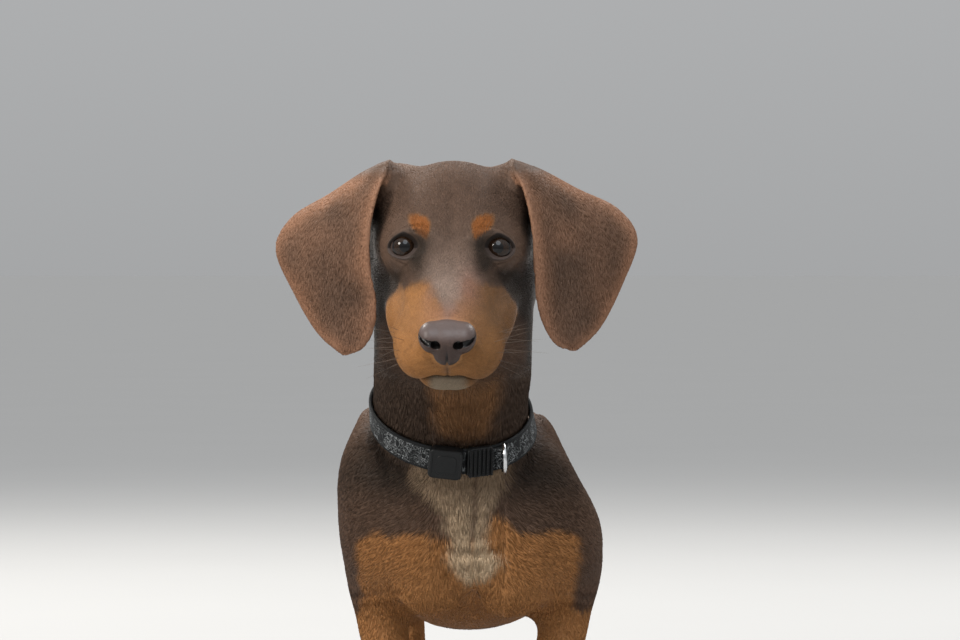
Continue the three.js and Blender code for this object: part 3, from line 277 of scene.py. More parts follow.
# ------------------------------------------------------------------ ears: thin blades, tabled over outward and drop
EH = 0.6
EO = np.arange(-8, 76, EH)
EG = np.arange(-10, 120, EH)
def ear_tables(side):
    n = 12
    A, B = rows_smooth(EAR_FRONT[side], n), rows_smooth(EAR_REAR, n)
    C = rows_smooth([(a, b, 0) for a, b in EAR_BULGE], n)
    idx = np.arange(len(A)) / (len(A) - 1)
    v, w = np.meshgrid(np.linspace(0, 1, 420), np.linspace(0, 1, 220), indexing="ij")
    g = lambda T, k: np.interp(v, idx, T[:, k])
    q = 4 * w * (1 - w)
    o = g(A, 0) * (1 - w) + g(B, 0) * w
    dr = g(A, 1) * (1 - w) + g(B, 1) * w - g(C, 1) * q
    y = g(A, 2) * (1 - w) + g(B, 2) * w - g(C, 0) * q
    # gentle folds: the front edge rolls forward, a long hollow runs down the blade
    y = y - 1.6 * bell(w - 0.04, 0.10) * sstep(0.02, 0.2, v) + 1.3 * bell(w - 0.22, 0.12) * bell(v - 0.35, 0.4) - 0.8 * bell(w - 0.62, 0.13) * bell(v - 0.4, 0.3)
    tree = KDTree(o.size)
    of, df = o.ravel(), dr.ravel()
    for i in range(of.size):
        tree.insert((of[i], df[i], 0), i)
    tree.balance()
    ring = np.concatenate([np.stack([o[:, 0], dr[:, 0]], 1), np.stack([o[-1, 1:], dr[-1, 1:]], 1), np.stack([o[::-1, -1], dr[::-1, -1]], 1)[1:], np.stack([o[0, ::-1], dr[0, ::-1]], 1)[1:-1]])
    edge = KDTree(len(ring))
    for i, p in enumerate(ring):
        edge.insert((p[0], p[1], 0), i)
    edge.balance()
    Y, W, V, E = (np.zeros((len(EO), len(EG))) for _ in range(4))
    wf, vf, yf = w.ravel(), v.ravel(), y.ravel()
    for i, a in enumerate(EO):
        for j, b in enumerate(EG):
            k = tree.find((a, b, 0))[1]
            Y[i, j], W[i, j], V[i, j] = yf[k], wf[k], vf[k]
            E[i, j] = edge.find((a, b, 0))[2]
    gx, gy = np.meshgrid(EO, EG, indexing="ij")
    inside = np.zeros(gx.shape, bool)
    P, Q = ring, np.roll(ring, -1, 0)
    for (x1, y1), (x2, y2) in zip(P, Q):
        if y1 == y2:
            continue
        c = ((y1 > gy) != (y2 > gy)) & (gx < (x2 - x1) * (gy - y1) / (y2 - y1) + x1)
        inside ^= c
    E = np.where(inside, -E, E)
    for _ in range(5):  # even out the tables
        for T in (Y, W, V, E):
            K = np.pad(T, 1, mode="edge")
            T[:] = (4 * T + K[2:, 1:-1] + K[:-2, 1:-1] + K[1:-1, 2:] + K[1:-1, :-2]) / 8
    Yo, Yg = np.gradient(Y, EH)
    return {"Y": Y, "W": W, "V": V, "E": E, "N": 1 / np.sqrt(1 + np.clip(Yo, -8, 8) ** 2 + np.clip(Yg, -8, 8) ** 2)}
ET = {side: ear_tables(side) for side in (1, -1)}
tick("ear tables")
def table(side, name, o, g):
    T = ET[side][name]
    a = np.clip((o - EO[0]) / EH, 0, len(EO) - 1.001)
    b = np.clip((g - EG[0]) / EH, 0, len(EG) - 1.001)
    i, j = a.astype(int), b.astype(int)
    p, q = a - i, b - j
    return T[i, j] * (1 - p) * (1 - q) + T[i + 1, j] * p * (1 - q) + T[i, j + 1] * (1 - p) * q + T[i + 1, j + 1] * p * q
def ear_local(side, x, z):
    t, k = EAR_TURN[side], EAR_SIZE[side]
    A, B = side * (x - EAR_ROOT_X[side]) / k, EAR_ROOT_Z - z
    o = (A * cos(t) - B * sin(t)) / (cos(t) ** 2 + k * sin(t) ** 2)
    return o, (B + k * o * sin(t)) / cos(t)
def ear_form(side, x, y, z):
    o, g = ear_local(side, x, z)
    E = table(side, "E", o, g)
    far = np.maximum(np.abs(o - 34) - 42, np.maximum(g - 121, -14 - g))
    N = table(side, "N", o, g)
    a = np.abs(y - table(side, "Y", o, g)) * N - (0.92 + 0.25 * np.clip(-E / 10, 0, 1) + 0.42 * np.clip((0.80 - N) / 0.28, 0, 1))
    return np.maximum(smax(a, E, 1.1), far), g

# ------------------------------------------------------------------ the skin: inside the coat, with lids, lips and folds
EYES = {1: from_head(EYE[0], EYE[1], EYE[2]), -1: from_head(-EYE[0], EYE[1], EYE[2])}
def eye_frame(side):
    """the opening between the lids looks forward and a little outward"""
    g = np.array([side * 0.20, -1.0, 0.02]); g /= np.linalg.norm(g)
    up = np.array([side * 0.03, 0.0, 1.0]); up -= g * up.dot(g); up /= np.linalg.norm(up)
    return np.cross(up, g) * -side, up, g  # outward, up, forward
def lid_place(side, x, y, z):
    c = EYES[side]
    o, up, g = eye_frame(side)
    px, py, pz = x - c[0], y - c[1], z - c[2]
    r = np.sqrt(px * px + py * py + pz * pz)
    rr = np.maximum(r, 1e-6)
    a = (px * o[0] + py * o[1] + pz * o[2]) / rr
    b = (px * up[0] + py * up[1] + pz * up[2]) / rr
    c = (px * g[0] + py * g[1] + pz * g[2]) / rr
    return r, np.arctan2(a, np.maximum(c, -0.2)), np.arcsin(np.clip(b, -1, 1)), c
def opening(al, be):
    """below 0 inside the opening between the lids, near to radians outside it"""
    be = be - 0.05 * al - 0.03
    a0 = np.where(al > 0, 0.86, 0.98)  # the inner corner runs to a point
    b0 = np.where(be > 0, 0.70, 0.66)
    p = 1.75
    q = (np.abs(al) / a0) ** p + (np.abs(be) / b0) ** p
    return (q ** (1 / p) - 1) * 0.68

def depth_of_coat(x, y, z, s, f, u):
    head = sstep(-85, -60, f) * sstep(-95, -60, u)
    d = 1.3 + 0.0 * x
    d = d * (1 - sstep(95, 55, z) * 0.45)
    d = d * (1 - sstep(34, 22, z) * 0.35)
    d = d + (0.65 - d) * head * sstep(230, 250, z)
    d = d + (0.5 - d) * sstep(5, 25, f) * head
    w = np.abs(collar_height(x, y, z))
    d = d + (0.7 - d) * (1 - sstep(7, 16, w)) * (collar_radius(x, y, z) < 75)
    return d

NOSTRIL = [(6.4, 72.6, -15.6, 2.3), (8.8, 71.6, -15.0, 2.1), (11.0, 69.8, -14.5, 1.8), (13.2, 67.0, -14.2, 1.3), (14.9, 64.0, -14.0, 0.8)]
def nostril_form(a, f, u):
    """a round hole near the middle that runs out into a slit along the side"""
    d = ell(a, f, u, (6.2, 72.5, -15.6), (2.9, 6.5, 2.8))
    for (s0, f0, u0, r0), (s1, f1, u1, r1) in zip(NOSTRIL, NOSTRIL[1:]):
        dx, dy, dz = s1 - s0, f1 - f0, u1 - u0
        t = np.clip(((a - s0) * dx + (f - f0) * dy + (u - u0) * dz) / (dx * dx + dy * dy + dz * dz), 0, 1)
        q = np.sqrt((a - s0 - t * dx) ** 2 + (f - f0 - t * dy) ** 2 + (u - u0 - t * dz) ** 2) - (r0 + t * (r1 - r0))
        d = smin(d, q, 0.7)
    return d

def skin_form(x, y, z):
    d = body_form(x, y, z, 1.2)
    s, f, u = to_head(x, y, z)
    depth = depth_of_coat(x, y, z, s, f, u)
    # breast: a fold across the breastbone and a groove between the forelegs
    front = (y < 0) & (z < 190)
    if front.any():
        xf, zf, yf = x[front] - 5.5, z[front], y[front]
        d[front] += 1.5 * bell(zf - 117 - 0.004 * xf ** 2, 2.2) * bell(xf, 17) + 1.6 * bell(xf, 2.4) * sstep(116, 100, zf) * sstep(40, 66, zf) + 0.7 * bell(xf, 5) * sstep(170, 150, zf) * sstep(118, 135, zf)
        # loose skin over the wrist and in front of the shoulder
        xa = np.abs(x[front] - FORE_X)
        d[front] += 0.5 * np.sin((zf - 30) * 0.9 + 0.05 * xa) * bell(zf - 34, 9) * (xa > 20)
        d[front] += 0.9 * bell(zf - 92 + 0.18 * (xa - 50), 3.0) * bell(xa - 58, 20)
    up = z > 150
    if up.any():
        X, Y, Z, s, f, u = x[up], y[up], z[up], s[up], f[up], u[up]
        a = np.abs(s)
        hd = skull_form(s, f, u)
        jw = jaw_form(s, f, u)
        # mouth: the upper lip laps over the lower jaw, with a dark furrow between
        furrow = 1.1 * bell(hd - jw, 0.9) * sstep(-26, -12, f) * sstep(-28, -33, u)
        # groove from the nose to the lip, shallow hollow down the bridge and before the eyes
        hd = hd + 0.45 * bell(s, 0.9) * sstep(57, 61, f) * sstep(-24, -28, u)
        hd = hd + 0.5 * bell(s, 5) * bell(f + 12, 22) * sstep(-4, 4, u)
        hd = hd + 1.0 * bell(a - 18, 5) * bell(f - 12, 9) * bell(u + 4, 6)
        h = smin(hd, jw, 0.8) + furrow
        h = smin(h, nose_form(s, f, u) + 1.0, 1.5)
        h = np.maximum(h, -(nostril_form(a, f, u) - 1.3))
        b = smin(d[up], h, 12) + depth[up]
        for side in (1, -1):
            c = EYES[side]
            m = (np.abs(X - c[0]) < 26) & (np.abs(Y - c[1]) < 26) & (np.abs(Z - c[2]) < 26)
            if m.any():
                r, al, be, fw = lid_place(side, X[m], Y[m], Z[m])
                op = opening(al, be)
                e = b[m]
                # lids hug the eyeball, with a crease above and a soft bag below
                e = smin(e, r - (EYE[3] + 1.25), 3.5)
                rim = bell(op - 0.05, 0.05) * (fw > 0)
                e = e - 0.35 * rim
                e = e + 0.75 * bell(op - 0.33, 0.07) * sstep(0.0, 0.3, be) * (fw > -0.1)
                e = e + 0.5 * bell(op - 0.36, 0.09) * sstep(-0.1, -0.4, be) * (fw > -0.1)
                cut = np.maximum(op * r, (EYE[3] - 1.3) - r)
                cut = np.where(fw > 0.05, cut, 50.0)
                b[m] = smax(e, -cut, 0.35)
        for side in (1, -1):
            m = (side * (X - EAR_ROOT_X[side]) > -12) & (Z > 210)
            if m.any():
                er, g = ear_form(side, X[m], Y[m], Z[m])
                er = smin(er, ell(X[m], Y[m], Z[m], (EAR_ROOT_X[side] + side * 1.0, -74, 322.8), (7.0, 15.5, 7.6)), 5)
                b[m] = smin(b[m], er, 0.5 + 7.5 * (1 - sstep(6, 34, g)))
        d = d + depth
        d[up] = b
        return np.maximum(d, 0.25 - z)
    return np.maximum(d + depth, 0.25 - z)

# ------------------------------------------------------------------ meshing
def chunks(F, x, y, z, size=120000):
    out = np.empty(len(x))
    for i in range(0, len(x), size):
        out[i:i + size] = F(x[i:i + size], y[i:i + size], z[i:i + size])
    return out

def nets(F, lo, hi, h, rounds=2, coarse=4):
    lo = np.array(lo, float)
    n = (np.ceil((np.array(hi) - lo) / (h * coarse)).astype(int)) * coarse + 1
    H = h * coarse
    cs = [lo[i] + h * np.arange(0, n[i], coarse) for i in range(3)]
    X, Y, Z = np.meshgrid(*cs, indexing="ij")
    C = chunks(F, X.ravel(), Y.ravel(), Z.ravel()).reshape(X.shape)
    near = np.abs(C) < 1.15 * H
    cell = np.zeros(np.array(C.shape) - 1, bool)
    low = np.full(cell.shape, np.inf); high = -low
    for i in (0, 1):
        for j in (0, 1):
            for k in (0, 1):
                sl = (slice(i, C.shape[0] - 1 + i), slice(j, C.shape[1] - 1 + j), slice(k, C.shape[2] - 1 + k))
                cell |= near[sl]
                low = np.minimum(low, C[sl]); high = np.maximum(high, C[sl])
    cell |= (low < 0) & (high > 0)
    mask = np.zeros(n, bool)
    big = np.repeat(np.repeat(np.repeat(cell, coarse, 0), coarse, 1), coarse, 2)
    for i in (0, 1):
        for j in (0, 1):
            for k in (0, 1):
                mask[i:n[0] - 1 + i, j:n[1] - 1 + j, k:n[2] - 1 + k] |= big
    V = np.repeat(np.repeat(np.repeat(C, coarse, 0), coarse, 1), coarse, 2)[:n[0], :n[1], :n[2]].copy()
    ids = np.argwhere(mask)
    P = lo + ids * h
    V[mask] = chunks(F, P[:, 0], P[:, 1], P[:, 2])
    # a cell face with its inside corners on one diagonal: the corner nearest the surface changes side
    for _ in range(6):
        again = False
        for p, q in ((0, 1), (1, 2), (0, 2)):
            S = [[slice(None)] * 3 for _ in range(4)]
            for k, (dp, dq) in enumerate(((0, 0), (1, 0), (1, 1), (0, 1))):
                S[k][p] = slice(dp, n[p] - 1 + dp); S[k][q] = slice(dq, n[q] - 1 + dq)
            A, B, C2, D = (V[tuple(s)] < 0 for s in S)
            for f in np.argwhere((A == C2) & (B == D) & (A != B)):
                ids4 = []
                for dp, dq in ((0, 0), (1, 0), (1, 1), (0, 1)):
                    m = f.copy(); m[p] += dp; m[q] += dq
                    ids4.append(tuple(m))
                v4 = [V[i] for i in ids4]
                if (v4[0] < 0) != (v4[2] < 0) or (v4[1] < 0) != (v4[3] < 0) or (v4[0] < 0) == (v4[1] < 0):
                    continue
                k = int(np.argmin(np.abs(v4)))
                V[ids4[k]] = 1e-3 if v4[k] < 0 else -1e-3
                again = True
        if not again:
            break
    inside = V < 0
    c = np.zeros(n - 1, np.int8)
    for i in (0, 1):
        for j in (0, 1):
            for k in (0, 1):
                c += inside[i:n[0] - 1 + i, j:n[1] - 1 + j, k:n[2] - 1 + k]
    act = (c > 0) & (c < 8)
    idx = -np.ones(n - 1, int)
    ids = np.argwhere(act)
    idx[act] = np.arange(len(ids))
    acc, cnt = np.zeros((len(ids), 3)), np.zeros(len(ids))
    corners = [(i, j, k) for i in (0, 1) for j in (0, 1) for k in (0, 1)]
    for a in range(8):
        for b in range(a + 1, 8):
            ca, cb = corners[a], corners[b]
            if sum(abs(ca[q] - cb[q]) for q in range(3)) != 1:
                continue
            va = V[ids[:, 0] + ca[0], ids[:, 1] + ca[1], ids[:, 2] + ca[2]]
            vb = V[ids[:, 0] + cb[0], ids[:, 1] + cb[1], ids[:, 2] + cb[2]]
            m = (va < 0) != (vb < 0)
            t = va[m] / (va[m] - vb[m])
            acc[m] += np.array(ca) + t[:, None] * (np.array(cb) - np.array(ca))
            cnt[m] += 1
    P = (ids + acc / cnt[:, None]) * h + lo
    quads = []
    for ax in range(3):
        s0 = [slice(1, n[q] - 1) for q in range(3)]
        s0[ax] = slice(0, n[ax] - 1)
        s1 = list(s0); s1[ax] = slice(1, n[ax])
        A, B = inside[tuple(s0)], inside[tuple(s1)]
        cr = np.argwhere(A != B)
        sg = A[tuple(cr.T)]
        cr = cr + np.array([1 if q != ax else 0 for q in range(3)])
        u, v = (ax + 1) % 3, (ax + 2) % 3
        def at(du, dv):
            q = cr.copy(); q[:, u] += du; q[:, v] += dv
            return idx[tuple(q.T)]
        q = np.stack([at(-1, -1), at(0, -1), at(0, 0), at(-1, 0)], 1)
        q[~sg] = q[~sg][:, ::-1]
        quads.append(q)
    Q = np.concatenate(quads)
    Q = Q[(Q >= 0).all(1)]
    P = settle(F, P, h, 2)
    for _ in range(rounds):
        P = settle(F, even(P, Q, 0.5), h, 1)
    return P, Q

def slope(F, P, e=0.06):
    g = np.zeros_like(P)
    for i in range(3):
        D = np.zeros(3); D[i] = e
        a, b = P + D, P - D
        g[:, i] = (chunks(F, a[:, 0], a[:, 1], a[:, 2]) - chunks(F, b[:, 0], b[:, 1], b[:, 2])) / (2 * e)
    return g
def settle(F, P, h, rounds):
    for _ in range(rounds):
        v = chunks(F, P[:, 0], P[:, 1], P[:, 2])
        g = slope(F, P)
        st = -(v / np.maximum((g ** 2).sum(1), 0.08))[:, None] * g
        l = np.linalg.norm(st, axis=1, keepdims=True)
        P = P + st * np.minimum(1, 0.5 * h / np.maximum(l, 1e-9))
    return P
def even(P, Q, t):
    S, C = np.zeros_like(P), np.zeros(len(P))
    for i in range(Q.shape[1]):
        for j in ((i + 1) % Q.shape[1], (i - 1) % Q.shape[1]):
            for k in range(3):
                S[:, k] += np.bincount(Q[:, i], P[Q[:, j], k], len(P))
            C += np.bincount(Q[:, i], minlength=len(P))
    m = C > 0
    out = P.copy()
    out[m] += t * (S[m] / C[m][:, None] - P[m])
    return out

def bm_of(P, Q):
    me = bpy.data.meshes.new("work")
    me.from_pydata(P.tolist(), [], Q.tolist())
    bm = bmesh.new()
    bm.from_mesh(me)
    bpy.data.meshes.remove(me)
    return bm

def coords(bm):
    return np.array([v.co[:] for v in bm.verts])

def refine(bm, F, near, h):
    """splits the faces within reach of near(P) and settles the new corners on the form"""
    bm.verts.ensure_lookup_table(); bm.verts.index_update()
    sel = near(coords(bm))
    edges = [e for e in bm.edges if sel[e.verts[0].index] and sel[e.verts[1].index]]
    n = len(bm.verts)
    bmesh.ops.subdivide_edges(bm, edges=edges, cuts=1, use_grid_fill=True)
    bm.verts.ensure_lookup_table(); bm.verts.index_update()
    P = coords(bm)
    sel = near(P)
    fs = [[v.index for v in f.verts] for f in bm.faces if len(f.verts) == 4 and any(sel[v.index] for v in f.verts)]
    Q = np.array(fs)
    # corners at the rim of the refined patch stay where they are while the rest evens out
    rim = np.zeros(len(P), bool)
    for f in bm.faces:
        if len(f.verts) != 4:
            for v in f.verts:
                rim[v.index] = True
    E = even(P, Q, 0.4)
    m = sel & ~rim
    P[m] = E[m]
    P[sel] = settle(F, P[sel], h, 2)
    for v in bm.verts:
        if sel[v.index]:
            v.co = P[v.index]

# body and head meshes, parted a little above and below the middle of the collar, where the band hides the join
P1, Q1 = nets(skin_form, (-86, -104, -4), (98, 438, 238), 2.7, 1)
tick("body net %d" % len(Q1))
P2, Q2 = nets(skin_form, (-118, -192, 148), (106, 46, 346), 1.3, 1)
tick("head net %d" % len(Q2))
body, head = bm_of(P1, Q1), bm_of(P2, Q2)
half_gap = 1.6
for bm, w, outer in ((body, -half_gap, True), (head, half_gap, False)):
    bmesh.ops.bisect_plane(bm, geom=bm.verts[:] + bm.edges[:] + bm.faces[:], dist=0.02, plane_co=Vector(CMID + CN * w), plane_no=Vector(CN), clear_outer=outer, clear_inner=not outer)
    # keep the one connected sheet that the collar goes round
    bm.verts.ensure_lookup_table(); bm.verts.index_update()
    label = [-1] * len(bm.verts)
    groups = []
    for v in bm.verts:
        if label[v.index] >= 0:
            continue
        stack, seen = [v], []
        label[v.index] = len(groups)
        while stack:
            q = stack.pop(); seen.append(q)
            for e in q.link_edges:
                o = e.other_vert(q)
                if label[o.index] < 0:
                    label[o.index] = len(groups); stack.append(o)
        groups.append(seen)
    groups.sort(key=len)
    bmesh.ops.delete(bm, geom=[v for g in groups[:-1] for v in g], context="VERTS")
tick("parted %d %d" % (len(body.verts), len(head.verts)))

def by_eyes(r):
    return lambda P: np.minimum(*[np.linalg.norm(P - EYES[s], axis=1) for s in (1, -1)]) < r
NOSE_AT, MOUTH_AT = from_head(0, 60, -18), from_head(0, 60, -40)
refine(head, skin_form, lambda P: by_eyes(17)(P) | (np.linalg.norm(P - NOSE_AT, axis=1) < 21) | (np.linalg.norm(P - MOUTH_AT, axis=1) < 24), 1.3)
refine(head, skin_form, by_eyes(12.5), 0.65)
refine(body, skin_form, lambda P: P[:, 2] < 32, 2.7)
tick("refined %d %d" % (len(body.verts), len(head.verts)))

def loop_at(bm, w):
    """the open rim on a plane across the collar, in order round it"""
    vs = set()
    for e in bm.edges:
        if len(e.link_faces) == 1:
            vs.update(e.verts)
    out = []
    for v in vs:
        p = np.array(v.co[:])
        if abs(float(collar_height(*p)) - w) < 0.3:
            out.append((math.atan2((p - CMID).dot(CY), (p - CMID).dot(CX)), v.index))
    out.sort()
    return [a for a, _ in out], [i for _, i in out]
for bm in (body, head):
    bm.verts.ensure_lookup_table(); bm.verts.index_update()
a1, l1 = loop_at(body, -half_gap)
a2, l2 = loop_at(head, half_gap)
VB, VH = coords(body), coords(head)
faces = [[v.index for v in f.verts] for f in body.faces] + [[v.index + len(VB) for v in f.verts] for f in head.faces]
i = j = 0
k = min(range(len(a2)), key=lambda q: abs(a2[q] - a1[0]))
a2 = a2[k:] + [t + 2 * pi for t in a2[:k]]
l2 = l2[k:] + l2[:k]
a1 = a1 + [a1[0] + 2 * pi]; l1 = l1 + [l1[0]]
a2 = a2 + [a2[0] + 2 * pi]; l2 = l2 + [l2[0]]
while i < len(l1) - 1 or j < len(l2) - 1:
    if j >= len(l2) - 1 or (i < len(l1) - 1 and a1[i + 1] <= a2[j + 1]):
        faces.append([l1[i], l1[i + 1], l2[j] + len(VB)]); i += 1
    else:
        faces.append([l1[i], l2[j + 1] + len(VB), l2[j] + len(VB)]); j += 1
SKIN_P = np.concatenate([VB, VH])
body.free(); head.free()

def to_world(P):
    return (P + SHIFT) * 0.001

def new_object(name, P, faces, smooth=True):
    me = bpy.data.meshes.new(name)
    me.from_pydata(to_world(np.asarray(P, float)).tolist(), [], faces)
    me.validate()
    if smooth:
        me.shade_smooth()
    ob = bpy.data.objects.new(name, me)
    bpy.context.scene.collection.objects.link(ob)
    return ob

skin = new_object("skin", SKIN_P, faces)
bm = bmesh.new(); bm.from_mesh(skin.data)
bmesh.ops.triangulate(bm, faces=[f for f in bm.faces if len(f.verts) > 4])
bmesh.ops.recalc_face_normals(bm, faces=bm.faces)
open_edges = sum(1 for e in bm.edges if len(e.link_faces) != 2)
print("skin verts", len(bm.verts), "faces", len(bm.faces), "open or doubled edges", open_edges)
bm.to_mesh(skin.data); bm.free()
skin.data.shade_smooth()
tick("skin")

# ------------------------------------------------------------------ an unwrap of the skin's own shape
def unwrap(ob, name="OFBake"):
    me = ob.data
    while me.uv_layers:
        me.uv_layers.remove(me.uv_layers[0])
    me.uv_layers.new(name=name)
    bpy.ops.object.select_all(action="DESELECT")
    bpy.context.view_layer.objects.active = ob
    ob.select_set(True)
    bpy.ops.object.mode_set(mode="EDIT")
    bpy.ops.mesh.select_all(action="SELECT")
    bpy.ops.uv.smart_project(angle_limit=radians(72), island_margin=0.0015, area_weight=0.0)
    bpy.ops.object.mode_set(mode="OBJECT")
    ob.select_set(False)
unwrap(skin)
tick("unwrapped")

def unpack(ob):
    me = ob.data
    n = len(me.vertices)
    co = np.empty(n * 3); me.vertices.foreach_get("co", co)
    nr = np.empty(n * 3); me.vertices.foreach_get("normal", nr)
    me.calc_loop_triangles()
    t = len(me.loop_triangles)
    tv = np.empty(t * 3, np.int32); me.loop_triangles.foreach_get("vertices", tv)
    tl = np.empty(t * 3, np.int32); me.loop_triangles.foreach_get("loops", tl)
    uv = np.empty(len(me.loops) * 2); me.uv_layers["OFBake"].data.foreach_get("uv", uv)
    return co.reshape(-1, 3) * 1000 - SHIFT, nr.reshape(-1, 3), tv.reshape(-1, 3), tl.reshape(-1, 3), uv.reshape(-1, 2)
SP, SN, ST, SL, SUV = unpack(skin)
tree = BVHTree.FromPolygons([tuple(p) for p in SP.tolist()], ST.tolist(), all_triangles=True)
tick("tree")

# ------------------------------------------------------------------ regions and markings, by place on the body
def ear_part(x, y, z):
    """1 on the ears, 0 elsewhere; with the place along the blade, the distance to its edge and its side"""
    w, along, edge = np.zeros_like(x), np.zeros_like(x), np.full_like(x, -30.0)
    for side in (1, -1):
        m = (side * (x - EAR_ROOT_X[side]) > -10) & (z > 212)
        if not m.any():
            continue
        er, g = ear_form(side, x[m], y[m], z[m])
        o, g = ear_local(side, x[m], z[m])
        s, f, u = to_head(x[m], y[m], z[m])
        hd = smin(skull_form(s, f, u), body_form(x[m], y[m], z[m]), 4) + 1.0
        k = sstep(-0.6, 1.6, hd - er) * sstep(3, 12, g)
        w[m] = np.maximum(w[m], k)
        along[m] = np.where(k > 0.1, table(side, "V", o, g), along[m])
        edge[m] = np.where(k > 0.1, table(side, "E", o, g), edge[m])
    return w, along, edge

class Place:
    def __init__(self, P):
        self.P = P
        x, y, z = self.x, self.y, self.z = P.T.copy()
        self.s, self.f, self.u = to_head(x, y, z)
        self.ear, self.along, self.edge = ear_part(x, y, z)
        self.head = sstep(212, 226, z - 0.30 * (y + 60)) * (y < 30) * (1 - self.ear)
        self.w = collar_height(x, y, z)
        self.xf, self.xr = np.abs(x - FORE_X), np.abs(x - HIND_X)
        self.eye = np.full_like(x, 9.0)
        self.rim = np.zeros_like(x)
        self.eyer = np.full_like(x, 99.0)
        for side in (1, -1):
            c = EYES[side]
            m = (np.abs(x - c[0]) < 30) & (np.abs(y - c[1]) < 30) & (np.abs(z - c[2]) < 30)
            if m.any():
                r, al, be, fw = lid_place(side, x[m], y[m], z[m])
                op = np.where(fw > -0.2, opening(al, be), 9.0)
                self.eye[m] = np.minimum(self.eye[m], op)
                self.eyer[m] = np.minimum(self.eyer[m], r)

